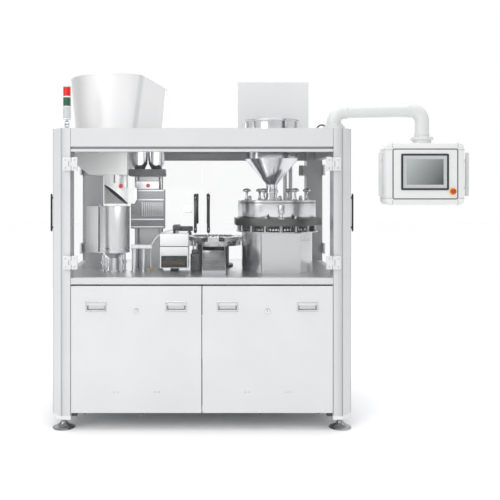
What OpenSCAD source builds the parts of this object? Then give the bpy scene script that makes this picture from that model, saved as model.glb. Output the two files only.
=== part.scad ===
// Automatic capsule filling machine: a floor-standing stainless frame with a glazed working
// chamber over a drive cabinet, hoppers on the roof and an operator panel on a swing arm.
// X runs to the operator's right, Y to the back and Z up. The origin is on the floor, at the
// centre of the frame.

/* [Frame] */
// Width over the corner posts
frame_w = 1950; // [1950:10:2400]
// Depth over the corner posts
frame_d = 1300; // [1300:10:1600]
// Height of the roof above the floor
frame_h = 1956; // [1950:2:2400]
// Side of a square corner post
post_w = 126; // [110:1:160]
// Chamfer on the outer corner of a post
post_chamfer = 65; // [30:1:80]
// Wall of a post
post_t = 4; // [3:0.5:6]
// Height of the working deck above the floor
deck_z = 987; // [820:1:1000]
// Height of a deck rail
deck_rail_h = 42; // [36:1:60]
// Height of the header above the chamber opening
header_h = 153; // [130:1:190]
// Thickness of the deck plate
deck_t = 12; // [8:1:20]
// Thickness of the roof sheet
roof_t = 10; // [6:1:14]

/* [Levelling feet] */
// Radius of a foot's base
foot_r = 73; // [50:1:90]
// Height from the floor to the underside of a post
foot_h = 73; // [60:1:100]

/* [Doors] */
// Thickness of the glass
glass_t = 8; // [6:1:12]
// Radius of a hinge pin
hinge_pin_r = 3.5; // [3:0.1:4.5]
// Height of a hinge block
hinge_h = 87; // [60:1:110]
// Length of a door handle
handle_l = 256; // [180:1:320]
// Depth of the folded edge of a cabinet panel
panel_d = 26; // [26:1:40]
// Width of a cup pull
cup_w = 127; // [90:1:150]
// Height of a cup pull
cup_h = 55; // [40:1:70]

/* [Dosing unit] */
// Distance of the dosing unit right of the machine's centre
dosing_x = 535; // [500:1:560]
// Distance of the dosing unit in front of the machine's centre
dosing_front = 150; // [120:1:180]
// Radius of the dosing housing
housing_r = 251; // [230:1:255]
// Height of the dosing housing above the deck
housing_h = 283; // [240:1:340]
// Half the width of the octagonal ring across its flats
ring_r = 300; // [292:1:310]
// Outer radius of the powder bowl
bowl_r = 276; // [265:1:280]
// Height of the powder bowl's wall
bowl_h = 106; // [95:1:130]
// Stroke of the tamping head
tamping_stroke = 30; // [10:1:30]

/* [Powder hopper] */
// Outer radius of the powder hopper
powder_r = 185; // [150:1:190]
// Height of the powder hopper above the roof
powder_h = 84; // [60:1:110]
// Radius of the powder tube
tube_r = 40; // [30:1:45]

/* [Capsule side] */
// Radius of the round end of the capsule hopper at the roof
hopper_r = 310; // [270:1:320]
// Height of the capsule hopper above the roof
hopper_h = 396; // [300:1:450]
// Radius of the dust tank
tank_r = 108; // [90:1:112]
// Stroke of the capsule magazine
magazine_stroke = 25; // [10:1:25]
// Travel of the reject drawer
drawer_travel = 120; // [60:1:140]

/* [Turret] */
// Radius of the turret table
turret_r = 215; // [190:1:220]
// Number of segment blocks on the turret
segment_count = 12; // [8:1:12]
// Radius of the vertical shafts
shaft_r = 30; // [24:1:32]

/* [Operator panel] */
// Reach of the swing arm
arm_reach = 555; // [500:1:650]
// Radius of the swing arm's tube
arm_r = 45; // [38:1:48]
// Width of the operator panel's case
case_w = 500; // [440:1:540]
// Height of the operator panel's case
case_h = 394; // [340:1:420]
// Depth of the operator panel's case
case_d = 150; // [110:1:170]

/* [Signal light] */
// Radius of the signal light
light_r = 26; // [20:1:30]
// Height of the signal light's column
light_h = 225; // [160:1:260]

/* [Hidden] */
$fn = 64;
RUN = 0.05;        // radial clearance of a shaft in its bore
SEAT = 0.3;        // gap under a piece that moves over its seat
SHEET = 3;         // folded sheet

half_w = frame_w / 2;
half_d = frame_d / 2;
in_x = half_w - post_w;          // inner faces of the posts
in_y = half_d - post_w;
rail_z = frame_h - header_h;     // underside of the top rails
rail_w = 50;
fascia_h = 120;
panel_z0 = foot_h + 42;          // bottom of the cabinet panels
panel_gap = 10;                  // gap between cabinet panels and the deck rail
panel_z1 = deck_z - deck_rail_h - panel_gap;
floor_z = panel_z0 + 3;
seam = 3;                        // half the seam between two doors or panels

// Doors: the hinge axis stands off the post's face and the glass lies just behind it.
hinge_out = 14;
glass_in = 12;                   // from the hinge axis back to the glass
door_z0 = deck_z + 5;
door_z1 = rail_z - 5;
hinge_z = [deck_z + 100, rail_z - 80];
leaf_l = 38;
leaf_in = 9;
leaf_out = 4;
barrel_r = 7;
handle_z = (door_z0 + door_z1) / 2 + 10;

// Dosing unit heights, from the deck up
dosing_y = -dosing_front;
housing_z1 = deck_z + housing_h;
ring_z0 = housing_z1 + 40;
ring_z1 = ring_z0 + 50;
bowl_z1 = ring_z1 + bowl_h;
lid_t = 20;
lid_z1 = bowl_z1 + lid_t;
flange_r = ring_r - 10;
column_r = flange_r - 14;
disc_r = column_r - 24;
disc_z0 = housing_z1 + 6;
disc_t = 14;
bowl_wall = 8;
stem_r = 9;
knob_ring_r = bowl_r - 61;
head_z0 = ring_z1 + 35;
head_t = 25;
head_r = bowl_r - bowl_wall - 6;
head_in = 142;
powder_x = dosing_x - 45;
powder_y = dosing_y - 80;
powder_top = frame_h + powder_h;
cone_z1 = rail_z - 29;
cone_z0 = cone_z1 - 176;
hopper_wall = 3;
powder_flange = 8;
lid_axis_y = powder_y + powder_r + 20;
lid_axis_z = powder_top + 6;
loader = [262, 0, 523, 530, 400];    // left, front, width, depth, height

// Turret
turret_x = 80;
turret_y = 80;
turret_z0 = deck_z + 163;
turret_t = 35;
column_top = turret_z0 - 2;
segment_h = 30;

// Drive below the deck
shaft_z = deck_z - 297;
shaft_end_z = deck_z - 227;
box_z0 = deck_z - 347;
main_r = 22;
main_x0 = -150;
pulley_x = 700;
pulley_w = 30;
motor_z = floor_z + 212;
motor_r = 95;
big_pulley_r = 90;
small_pulley_r = 50;
cam_r = (shaft_z - motor_z - motor_r) * 22 / 53;    // the cams swing clear of the motor

// Capsule side
hopper_x = -606;
hopper_y = -60;
belly_x0 = -880;
belly_x1 = -518;
belly_y0 = -345;
belly_y1 = 150;
belly_z0 = rail_z - 140;
tank_x = -618;
tank_y = -250;
tank_z0 = deck_z + 134;
tank_h = 323;
duct_r = 84;
duct_x = -606;
mag_x = -386;
mag_w = 236;
mag_y0 = -230;
mag_y1 = -90;
mag_z0 = deck_z + 298;
mag_h = 275;
rod_r = 14;
rod_y = -112;
cowl_z0 = mag_z0 + mag_h + 95;
cowl_t = 50;

// Inspection housing and its drawer
inspect = [-295, -300, 1012 - 987, 200, 170, 238];   // left, front, above deck, width, depth, height
drawer_h = 80;

// Operator panel
arm_x = half_w - 110;
arm_y = -half_d + 70;
arm_z = frame_h + 112;
arm_turn = -10;
bend_r = 70;
base_r = 70;
arm_flange_z = frame_h - 81;
case_top = frame_h - 103;
case_x = arm_x + arm_reach * cos(arm_turn);
case_y = arm_y + arm_reach * sin(arm_turn);
case_r = 32;
face_t = 4;
screen_w = 301;
screen_h = 230;
estop_r = 17;
estop_x = case_x + 172;
estop_z = case_top - 307;

// Signal light
light_x = -half_w + 91;
light_y = -half_d + 63;
knuckle_z = frame_h + 38;
knuckle_r = 22;

// ---- shared shapes ----

// A box between two corners.
module span(a, b) {
    translate(a) cube(b - a);
}

// Copies to the four corners of the frame.
module corners() {
    for (sx = [0, 1], sy = [0, 1]) mirror([sx, 0, 0]) mirror([0, sy, 0]) children();
}

// A pipe along Z.
module pipe(r, wall, h) {
    difference() {
        cylinder(r = r, h = h);
        translate([0, 0, -1]) cylinder(r = r - wall, h = h + 2);
    }
}

// A block with round corners in X and Z, standing from y = 0 back to y = depth.
module round_block(w, h, depth, r) {
    span([-w / 2 + r, 0, -h / 2], [w / 2 - r, depth, h / 2]);
    span([-w / 2, 0, -h / 2 + r], [w / 2, depth, h / 2 - r]);
    for (sx = [-1, 1], sz = [-1, 1])
        translate([sx * (w / 2 - r), 0, sz * (h / 2 - r)])
            rotate([-90, 0, 0]) cylinder(r = r, h = depth);
}

// ---- frame ----

// The section of a post, shrunk by a wall.
module post_section(wall) {
    side = post_w - wall;
    cut = post_chamfer + wall * 0.41;
    polygon([[cut, wall], [side, wall], [side, side], [wall, side], [wall, cut]]);
}

// Hollow folded posts with a cap above and a thick end plate below, which has a drain hole.
module corner_posts() {
    end_t = 20;
    color("gainsboro") corners() translate([-half_w, -half_d, foot_h]) difference() {
        linear_extrude(frame_h - foot_h) post_section(0);
        translate([0, 0, end_t]) linear_extrude(frame_h - foot_h - end_t - 5) post_section(post_t);
        translate([post_w - 25, post_w - 25, -1]) cylinder(r = 8, h = end_t + 2);
    }
}

// One rail of each kind, then copied to the other side.
module rail_x(y0, z0, h) {
    for (s = [0, 1]) mirror([0, s, 0]) span([-in_x, y0, z0], [in_x, y0 + rail_w, z0 + h]);
}

module rail_y(x0, z0, h) {
    for (s = [0, 1]) mirror([s, 0, 0]) span([x0, -in_y, z0], [x0 + rail_w, in_y, z0 + h]);
}

// Bottom rails, deck rails and top rails; the top rails carry a lip under the header.
module frame_rails() {
    back = panel_d + SEAT;
    lip = 17;
    color("gainsboro") {
        rail_x(-half_d + back, floor_z, 40);
        rail_y(-half_w + back, floor_z, 40);
        rail_x(-half_d, deck_z - deck_rail_h, deck_rail_h);
        rail_y(-half_w, deck_z - deck_rail_h, deck_rail_h);
        rail_x(-half_d + 10, rail_z, 63);
        rail_y(-half_w + 10, rail_z, 63);
        for (s = [0, 1]) {
            mirror([0, s, 0]) span([-in_x, -half_d, rail_z], [in_x, -half_d + 10, rail_z + lip]);
            mirror([s, 0, 0]) span([-half_w, -in_y, rail_z], [-half_w + 10, in_y, rail_z + lip]);
        }
    }
}

module floor_pan() {
    back = panel_d + SEAT + rail_w;
    color("silver") {
        span([-in_x, -half_d + back, floor_z], [in_x, half_d - back, floor_z + 4]);
        span([-half_w + back, -in_y, floor_z], [half_w - back, in_y, floor_z + 4]);
    }
}

// The roof sheet and its four skirts, which form the header.
module roof_cover() {
    skirt_z = frame_h - fascia_h;
    color("gainsboro") difference() {
        union() {
            span([-in_x, -half_d, frame_h - roof_t], [in_x, half_d, frame_h]);
            span([-half_w, -in_y, frame_h - roof_t], [half_w, in_y, frame_h]);
            for (s = [0, 1]) {
                mirror([0, s, 0]) span([-in_x, -half_d, skirt_z], [in_x, -half_d + 4, frame_h]);
                mirror([s, 0, 0]) span([-half_w, -in_y, skirt_z], [-half_w + 4, in_y, frame_h]);
            }
        }
        span([belly_x0, belly_y0, frame_h - 20], [belly_x1, belly_y1, frame_h + 1]);
        translate([powder_x, powder_y, frame_h - 20]) cylinder(r = powder_r + SEAT, h = 40);
    }
}

module deck_plate() {
    color("silver") difference() {
        union() {
            span([-in_x, -half_d + rail_w, deck_z - deck_t], [in_x, half_d - rail_w, deck_z]);
            span([-half_w + rail_w, -in_y, deck_z - deck_t], [half_w - rail_w, in_y, deck_z]);
        }
        translate([turret_x, turret_y, deck_z - 20]) cylinder(r = shaft_r + 10, h = 40);
        translate([dosing_x, dosing_y, deck_z - 20]) cylinder(r = shaft_r + 10, h = 40);
    }
}

// A turned bell foot with its neck, hexagon nut and threaded spindle.
module levelling_feet() {
    inset = 70;
    color("lightsteelblue") corners() translate([-half_w + inset, -half_d + inset, 0]) {
        rotate_extrude()
            polygon([[0, 0], [foot_r, 0], [foot_r, 6], [foot_r * 0.8, 14], [foot_r * 0.55, 24],
                [foot_r * 0.33, 36], [foot_r * 0.26, 50], [0, 50]]);
        translate([0, 0, 50]) cylinder(r = 10, h = foot_h - 50);
        translate([0, 0, foot_h - 16]) cylinder(r = 20, h = 11, $fn = 6);
    }
}

// Corner brackets at the bottom rails and the pins that the cabinet panels stand on.
module base_brackets() {
    pin_y = -half_d + panel_d + SEAT;
    color("dimgray") {
        corners() span([-in_x, pin_y + 8, floor_z - 34], [-in_x + 35, pin_y + 42, floor_z]);
        for (i = [-2 : 2]) translate([i * (in_x - 90) / 2, pin_y + 10, floor_z - 20])
            cylinder(r = 7, h = 20);
    }
}

// A folded tray, open at the back: width, height, with its face at y = 0.
module tray(w, h, depth) {
    difference() {
        span([-w / 2, 0, 0], [w / 2, depth, h]);
        span([-w / 2 + SHEET, SHEET, SHEET], [w / 2 - SHEET, depth + 1, h - SHEET]);
    }
}

// Fixed panels on the two sides and the back of the cabinet.
module cabinet_panels() {
    h = panel_z1 - panel_z0;
    wide = in_x - 2 * seam;
    color("whitesmoke") {
        for (s = [-1, 1]) {
            translate([s * (in_x / 2), half_d, panel_z0]) rotate([0, 0, 180]) tray(wide, h, panel_d);
            translate([s * half_w, 0, panel_z0]) rotate([0, 0, s * 90]) tray(2 * in_y - 2 * seam, h, panel_d);
        }
    }
}

// ---- doors ----

// Places a door drawn from its hinge axis: glass to the right, outside towards -Y.
module at_front_left() {
    translate([-in_x, -half_d - hinge_out, 0]) children();
}

module at_front_right() {
    mirror([1, 0, 0]) at_front_left() children();
}

module at_rear_left() {
    mirror([0, 1, 0]) at_front_left() children();
}

module at_rear_right() {
    mirror([1, 0, 0]) at_rear_left() children();
}

module at_left_side() {
    translate([-half_w - hinge_out, in_y, 0]) rotate([0, 0, -90]) children();
}

module at_right_side() {
    mirror([1, 0, 0]) at_left_side() children();
}

// The half of a hinge that is screwed to the post, with its pin.
module post_leaf() {
    third = hinge_h / 3 - 0.5;
    for (z = hinge_z) translate([0, 0, z - hinge_h / 2]) {
        span([-leaf_in - leaf_l, -leaf_out, 0], [-leaf_in, hinge_out, hinge_h]);
        for (z0 = [0, hinge_h - third]) {
            span([-leaf_in - 1, -leaf_out, z0], [0, leaf_out, z0 + third]);
            translate([0, 0, z0]) cylinder(r = barrel_r, h = third);
        }
        cylinder(r = hinge_pin_r, h = hinge_h);
    }
}

// The half of a hinge that is clamped to the glass.
module glass_leaf() {
    third = hinge_h / 3 - 0.5;
    for (z = hinge_z) translate([0, 0, z - hinge_h / 2]) difference() {
        union() {
            span([leaf_in, -leaf_out, 0], [leaf_in + leaf_l, glass_in, hinge_h]);
            span([0, -leaf_out, third + 1], [leaf_in + 1, leaf_out, hinge_h - third - 1]);
            translate([0, 0, third + 1]) cylinder(r = barrel_r, h = hinge_h - 2 * third - 2);
        }
        cylinder(r = hinge_pin_r + RUN, h = hinge_h);
    }
}

module hinge_leaves() {
    color("lightgray") {
        at_front_left() post_leaf();
        at_front_right() post_leaf();
        at_rear_left() post_leaf();
        at_rear_right() post_leaf();
        at_left_side() post_leaf();
        at_right_side() post_leaf();
    }
}

module glass(w) {
    span([seam, glass_in, door_z0], [w, glass_in + glass_t, door_z1]);
}

// A flat bar handle on two stand-offs.
module door_handle(x) {
    for (s = [-1, 1]) translate([x, glass_in, handle_z + s * (handle_l / 2 - 28)])
        rotate([90, 0, 0]) cylinder(r = 7, h = 27);
    span([x - 11, glass_in - 38, handle_z - handle_l / 2], [x + 11, glass_in - 26, handle_z + handle_l / 2]);
}

front_w = in_x - seam / 2;
side_w = 2 * in_y - seam;
handle_in = 42;

module front_left_door() {
    color("lightcyan", 0.3) at_front_left() glass(front_w);
}

module front_right_door() {
    color("lightcyan", 0.3) at_front_right() glass(front_w);
}

module front_left_fittings() {
    color("black") at_front_left() {
        glass_leaf();
        door_handle(in_x - handle_in);
    }
}

module front_right_fittings() {
    color("black") at_front_right() {
        glass_leaf();
        door_handle(in_x - handle_in);
    }
}

// Rear and side doors carry the same hinge halves and handle as one piece with the glass.
module plain_door(w) {
    glass(w);
    glass_leaf();
    door_handle(w - handle_in);
}

module rear_left_door() {
    color("lightcyan", 0.3) at_rear_left() plain_door(front_w);
}

module rear_right_door() {
    color("lightcyan", 0.3) at_rear_right() plain_door(front_w);
}

module left_side_door() {
    color("lightcyan", 0.3) at_left_side() plain_door(side_w);
}

module right_side_door() {
    color("lightcyan", 0.3) at_right_side() plain_door(side_w);
}

// ---- lower front panels ----

lower_w = in_x - 2 * seam;
lower_h = panel_z1 - panel_z0;
cup_x = lower_w / 2 - 163;
cup_z = lower_h - 133;
lock_z = lower_h - 161;
lock_r = 11;
cup_depth = panel_d - 4;

// A folded tray with two cup pulls let into its face and a hole for its lock. Each cup has a
// lip over its upper half to pull on.
module lower_panel() {
    difference() {
        union() {
            tray(lower_w, lower_h, panel_d);
            for (s = [-1, 1]) translate([s * cup_x, 0, cup_z])
                span([-cup_w / 2 - 2, 0, -cup_h / 2 - 2], [cup_w / 2 + 2, cup_depth + 2, cup_h / 2 + 2]);
        }
        for (s = [-1, 1]) translate([s * cup_x, 0, cup_z]) {
            span([-cup_w / 2, -1, -cup_h / 2], [cup_w / 2, cup_depth, cup_h / 2 - 20]);
            span([-cup_w / 2, 3, -cup_h / 2], [cup_w / 2, cup_depth, cup_h / 2]);
        }
        translate([0, -1, lock_z]) rotate([-90, 0, 0]) cylinder(r = lock_r + RUN, h = 10);
    }
}

// A quarter-turn lock: round head, barrel and a tongue behind the sheet.
module cam_lock() {
    translate([0, -3, lock_z]) rotate([-90, 0, 0]) cylinder(r = lock_r + 6, h = 3);
    translate([0, -3, lock_z]) rotate([-90, 0, 0]) cylinder(r = lock_r, h = 20);
    span([-8, 12, lock_z - 8], [8, 16, lock_z + 45]);
}

module at_lower_left() {
    translate([-in_x / 2, -half_d, panel_z0]) children();
}

module at_lower_right() {
    translate([in_x / 2, -half_d, panel_z0]) children();
}

module lower_panel_left() {
    color("whitesmoke") at_lower_left() lower_panel();
}

module lower_panel_right() {
    color("whitesmoke") at_lower_right() lower_panel();
}

module cam_lock_left() {
    color("silver") at_lower_left() cam_lock();
}

module cam_lock_right() {
    color("silver") at_lower_right() cam_lock();
}

// ---- capsule side ----

// The outline of the capsule hopper: a round end and a square loading end, at one height.
module hopper_slab(grow, z, h) {
    r = hopper_r + grow;
    translate([hopper_x, hopper_y, z]) cylinder(r = r, h = h, $fn = 48);
    span([hopper_x, hopper_y - 182 - grow, z], [hopper_x + hopper_r + 11 + grow, hopper_y + 182 + grow, z + h]);
}

// Flared sheet hopper, open at both ends, whose rim falls away towards the loading end.
module capsule_hopper() {
    flare = 36;
    color("lightgray") difference() {
        hull() {
            hopper_slab(0, frame_h, 1);
            hopper_slab(flare, frame_h + hopper_h - 1, 1);
        }
        hull() {
            hopper_slab(-SHEET, frame_h - 1, 1);
            hopper_slab(flare - SHEET + 0.1, frame_h + hopper_h, 1);
        }
        translate([hopper_x + 186, hopper_y - 600, frame_h + hopper_h]) rotate([0, 27, 0])
            cube([700, 1200, 400]);
    }
}

// The part of the hopper inside the chamber, closed below but for the duct.
module belly(in) {
    hull() {
        span([belly_x0 + in, belly_y0 + in, rail_z - 62], [belly_x1 - in, belly_y1 - in, frame_h + (in > 0 ? 1 : 0)]);
        span([belly_x0 + 100 + in, belly_y0 + in, belly_z0 + in],
            [belly_x1 - in, belly_y1 - 190 - in, belly_z0 + in + 1]);
    }
}

module hopper_belly() {
    color("gainsboro") difference() {
        belly(0);
        belly(SHEET);
        translate([duct_x, tank_y, belly_z0 - 1]) cylinder(r = duct_r - SHEET, h = 20);
    }
}

// A pipe down from the belly, cut slantwise so that its mouth pours into the tank.
module capsule_duct() {
    z0 = tank_z0 + tank_h + 15;
    color("whitesmoke") difference() {
        translate([duct_x, tank_y, z0]) pipe(duct_r, SHEET, belly_z0 - z0);
        translate([duct_x + 60, tank_y - 300, z0 - 6]) rotate([0, -145, 0]) cube([600, 600, 400]);
    }
}

// Stainless tank with a rim, a sump pipe down to the deck and a channel at its side.
module dust_tank() {
    color("silver") {
        translate([tank_x, tank_y, tank_z0]) {
            pipe(tank_r, SHEET, tank_h);
            cylinder(r = tank_r - 1, h = 4);
            translate([0, 0, tank_h - 8]) pipe(tank_r + 4, 6, 8);
            translate([0, 0, -40]) cylinder(r1 = 38, r2 = 80, h = 41);
        }
        translate([tank_x, tank_y, deck_z]) {
            cylinder(r = 38, h = tank_z0 - deck_z - 39);
            cylinder(r = 66, h = 10);
        }
        span([tank_x - tank_r - 84, tank_y - 40, tank_z0], [tank_x - tank_r + 8, tank_y + 40, tank_z0 + 4]);
        difference() {
            span([tank_x - tank_r - 84, tank_y - 40, tank_z0], [tank_x - tank_r + 2, tank_y + 40, tank_z0 + tank_h]);
            span([tank_x - tank_r - 81, tank_y - 37, tank_z0 + 4], [tank_x - tank_r + 10, tank_y + 37, tank_z0 + tank_h + 1]);
        }
    }
}

// Back plates and round guides of the magazine, and the white beam on its post.
module magazine_frame() {
    color("silver") {
        span([mag_x - 100, mag_y1 + 12, deck_z], [mag_x + 100, mag_y1 + 28, cowl_z0]);
        span([-860, mag_y1 + 60, deck_z], [-728, mag_y1 + 72, belly_z0]);
        for (s = [-1, 1]) translate([mag_x + s * 88, rod_y, deck_z]) cylinder(r = rod_r, h = cowl_z0 - deck_z);
        span([mag_x - 105, -330, deck_z + 164], [mag_x + 38, -300, deck_z + 190]);
        translate([mag_x - 85, -315, deck_z]) cylinder(r = 17, h = 165);
        translate([mag_x - 20, -315, deck_z]) cylinder(r = 12, h = 165);
    }
}

// Dark cowl over the magazine, under two polished feed cylinders that hang from the roof.
module magazine_cowl() {
    color("dimgray") {
        span([mag_x - mag_w / 2 - 10, mag_y0, cowl_z0], [mag_x + mag_w / 2 + 4, mag_y1 + 50, cowl_z0 + cowl_t]);
        for (s = [-1, 1]) translate([mag_x + s * 60 - 3, mag_y0 + 90, cowl_z0 + cowl_t]) {
            cylinder(r1 = 34, r2 = 56, h = 40);
            translate([0, 0, 40]) cylinder(r = 56, h = frame_h - roof_t - cowl_z0 - cowl_t - 40);
        }
    }
}

// The capsule magazine: a slotted block that rides on the two guides, with its head block.
module magazine_block() {
    slots = 11;
    pitch = 14;
    color("slategray") difference() {
        union() {
            span([mag_x - mag_w / 2, mag_y0, mag_z0], [mag_x + mag_w / 2, mag_y1, mag_z0 + mag_h]);
            span([mag_x - 86, mag_y0 - 8, mag_z0 + mag_h], [mag_x + 82, mag_y1 - 40, mag_z0 + mag_h + 60]);
            translate([mag_x + 6, mag_y0 - 8, mag_z0 + mag_h + 28]) rotate([90, 0, 0])
                cylinder(r = 10, h = 18);
        }
        for (s = [-1, 1]) translate([mag_x + s * 88, rod_y, mag_z0 - 1])
            cylinder(r = rod_r + RUN, h = mag_h + 2);
        for (i = [0 : slots - 1]) translate([mag_x - mag_w / 2 + 70 + i * pitch, mag_y0 - 1, mag_z0 + 90])
            cube([6, 30, 90]);
    }
}

// ---- powder side ----

// Turned powder hopper: open cylinder through the roof, cone and tube, with a hinge lug.
module powder_hopper() {
    color("lightgray") {
        translate([powder_x, powder_y, 0]) rotate_extrude() polygon([
            [tube_r, lid_z1], [tube_r, cone_z0], [powder_r, cone_z1], [powder_r, frame_h],
            [powder_r + 15, frame_h], [powder_r + 15, frame_h + 10], [powder_r, frame_h + 10],
            [powder_r, powder_top - powder_flange], [powder_r + 10, powder_top - powder_flange],
            [powder_r + 10, powder_top], [powder_r - hopper_wall, powder_top],
            [powder_r - hopper_wall, cone_z1 + 1], [tube_r - hopper_wall, cone_z0 + 1],
            [tube_r - hopper_wall, lid_z1]]);
        for (s = [-1, 1]) translate([powder_x + s * 40, 0, 0]) {
            span([-7, lid_axis_y - 14, powder_top - powder_flange], [7, lid_axis_y + 6, powder_top]);
            span([-7, lid_axis_y - 6, powder_top - 1], [7, lid_axis_y + 6, lid_axis_z + 6]);
        }
        translate([powder_x - 40, lid_axis_y, lid_axis_z]) rotate([0, 90, 0]) cylinder(r = 3, h = 80);
    }
}

// Round lid with a bar handle, hinged at the back of the powder hopper.
module powder_lid() {
    z = powder_top + SEAT;
    color("silver") difference() {
        union() {
            translate([powder_x, powder_y, z]) cylinder(r = powder_r + 8, h = 5);
            span([powder_x - 32, lid_axis_y - 20, z], [powder_x + 32, lid_axis_y, z + 5]);
            translate([powder_x - 32, lid_axis_y, lid_axis_z]) rotate([0, 90, 0]) cylinder(r = 5.6, h = 64);
            translate([powder_x, powder_y, z + 5]) {
                for (s = [-1, 1]) translate([s * 40, 0, 0]) cylinder(r = 5, h = 16);
                span([-45, -5, 14], [45, 5, 20]);
            }
        }
        translate([powder_x - 50, lid_axis_y, lid_axis_z]) rotate([0, 90, 0]) cylinder(r = 3 + RUN, h = 100);
    }
}

// Clamps that hold the hopper's flange down on the roof, and a small cable arch.
module hopper_clamps() {
    z = frame_h + 10;
    color("dimgray") {
        for (s = [-1, 1]) translate([powder_x + s * (powder_r + 26), powder_y, 0]) {
            span([-9, -22, frame_h], [9, 22, z + 14]);
            span([s > 0 ? -25 : 0, -16, z], [s > 0 ? 0 : 25, 16, z + 8]);
        }
        translate([dosing_x + 265, -half_d + 150, frame_h]) rotate([90, 0, 0])
            rotate_extrude(angle = 180) translate([34, 0]) circle(r = 5);
    }
}

// Sheet housing of the powder loader with a suction spigot at the back.
module loader_box() {
    spigot_z = frame_h + 250;
    color("whitesmoke") difference() {
        union() {
            translate([loader[0], loader[1], frame_h]) cube([loader[2], loader[3], loader[4]]);
            translate([loader[0] + 150, loader[1] + loader[3], spigot_z]) rotate([-90, 0, 0])
                cylinder(r = 31.75, h = 60);
        }
        translate([loader[0] + SHEET, loader[1] + SHEET, frame_h - 1])
            cube([loader[2] - 2 * SHEET, loader[3] - 2 * SHEET, loader[4] - SHEET + 1]);
        translate([loader[0] + 150, loader[1] + loader[3] - 10, spigot_z]) rotate([-90, 0, 0])
            cylinder(r = 29, h = 80);
    }
}

// Drum under the dosing disc: wall, top plate with a flange, and a boss around the shaft.
module dosing_housing() {
    color("silver") translate([dosing_x, dosing_y, deck_z]) difference() {
        union() {
            pipe(housing_r, 6, housing_h);
            translate([0, 0, housing_h - 22]) cylinder(r = housing_r - 3, h = 22);
            translate([0, 0, housing_h - 8]) cylinder(r = flange_r, h = 8);
            cylinder(r = shaft_r + 25, h = housing_h);
        }
        translate([0, 0, -1]) cylinder(r = shaft_r + RUN, h = housing_h + 2);
    }
}

// Flat cover on the front of the drum.
module dosing_cover() {
    w = 264;
    front = housing_r + 38;
    color("gainsboro") translate([dosing_x, dosing_y, deck_z]) difference() {
        span([-w / 2, -front, 0], [w / 2, -housing_r * 0.8, housing_h - 8]);
        span([-w / 2 + SHEET, -front + SHEET, -1], [w / 2 - SHEET, 0, housing_h - 8 - SHEET]);
        translate([0, 0, -1]) cylinder(r = housing_r + RUN, h = housing_h);
    }
}

// Short columns between the drum and the ring, and two tall pillars up to the roof.
module dosing_columns() {
    count = 16;
    color("silver") {
        translate([dosing_x, dosing_y, housing_z1]) for (i = [0 : count - 1])
            rotate([0, 0, i * 360 / count - 90]) translate([column_r, 0, 0])
                cylinder(r = i == 0 ? 13 : 9, h = ring_z0 - housing_z1);
        for (x = [dosing_x + 100, dosing_x + 142])
            translate([x, dosing_y + 352, deck_z]) cylinder(r = 14, h = frame_h - roof_t - deck_z);
    }
}

module dosing_ring() {
    color("gray") translate([dosing_x, dosing_y, ring_z0]) difference() {
        rotate([0, 0, 22.5]) cylinder(r = ring_r / cos(22.5), h = ring_z1 - ring_z0, $fn = 8);
        translate([0, 0, -1]) cylinder(r = bowl_r - 18, h = ring_z1 - ring_z0 + 2);
    }
}

module powder_bowl() {
    color("silver") translate([dosing_x, dosing_y, ring_z1]) pipe(bowl_r, bowl_wall, bowl_h);
}

module knob_places() {
    for (i = [0 : 5]) translate([dosing_x, dosing_y, 0]) rotate([0, 0, i * 60])
        translate([knob_ring_r, 0, 0]) children();
}

module bowl_lid() {
    color("silver") difference() {
        union() {
            translate([dosing_x, dosing_y, bowl_z1]) cylinder(r = bowl_r, h = lid_t);
            for (i = [0 : 2]) translate([dosing_x, dosing_y, lid_z1]) rotate([0, 0, i * 120 + 30])
                translate([knob_ring_r, 0, 0]) sphere(r = 12);
        }
        translate([powder_x, powder_y, bowl_z1 - 1]) cylinder(r = tube_r - hopper_wall, h = lid_t + 2);
        knob_places() translate([0, 0, bowl_z1 - 1]) cylinder(r = stem_r + RUN, h = lid_t + 2);
    }
}

// Level sensor on a foot at the front of the ring.
module level_sensor() {
    color("lightgray") translate([dosing_x, dosing_y - bowl_r - 26, ring_z1]) {
        span([-18, 2, 0], [18, 22, 8]);
        cylinder(r1 = 24, r2 = 10, h = 26);
        translate([0, 0, 26]) cylinder(r = 10, h = 12);
        translate([0, 0, 37]) cylinder(r = 22, h = 58);
    }
}

// Disc with a ring of dosing bores on its shaft.
module dosing_disc() {
    bores = 48;
    color("lightsteelblue") translate([dosing_x, dosing_y, 0]) {
        difference() {
            translate([0, 0, disc_z0]) cylinder(r = disc_r, h = disc_t);
            for (i = [0 : bores - 1]) rotate([0, 0, i * 360 / bores])
                translate([knob_ring_r, 0, disc_z0 - 1]) cylinder(r = 4.5, h = disc_t + 2);
        }
        translate([0, 0, shaft_end_z]) cylinder(r = shaft_r, h = disc_z0 - shaft_end_z + 1);
    }
}

// Ring plate with six groups of tamping pins, and a mushroom knob on a stem over each.
module tamping_head() {
    pins = 5;
    color("silver") {
        translate([dosing_x, dosing_y, head_z0]) pipe(head_r, head_r - head_in, head_t);
        knob_places() {
            for (j = [0 : pins - 1]) translate([0, (j - (pins - 1) / 2) * 14, disc_z0 + disc_t + 3])
                cylinder(r = 4, h = head_z0 - disc_z0 - disc_t - 2);
            translate([0, 0, head_z0 + head_t - 1]) cylinder(r = stem_r, h = lid_z1 + 60 - head_z0 - head_t);
            translate([0, 0, lid_z1 + 56]) cylinder(r1 = 12, r2 = 25, h = 14);
            translate([0, 0, lid_z1 + 70]) cylinder(r1 = 25, r2 = 13, h = 14);
        }
    }
}

// ---- turret ----

module turret_column() {
    color("gray") translate([turret_x, turret_y, deck_z]) difference() {
        union() {
            cylinder(r = 120, h = column_top - deck_z);
            cylinder(r = 150, h = 20);
        }
        translate([0, 0, -1]) cylinder(r = shaft_r + RUN, h = column_top - deck_z + 2);
    }
}

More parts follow.
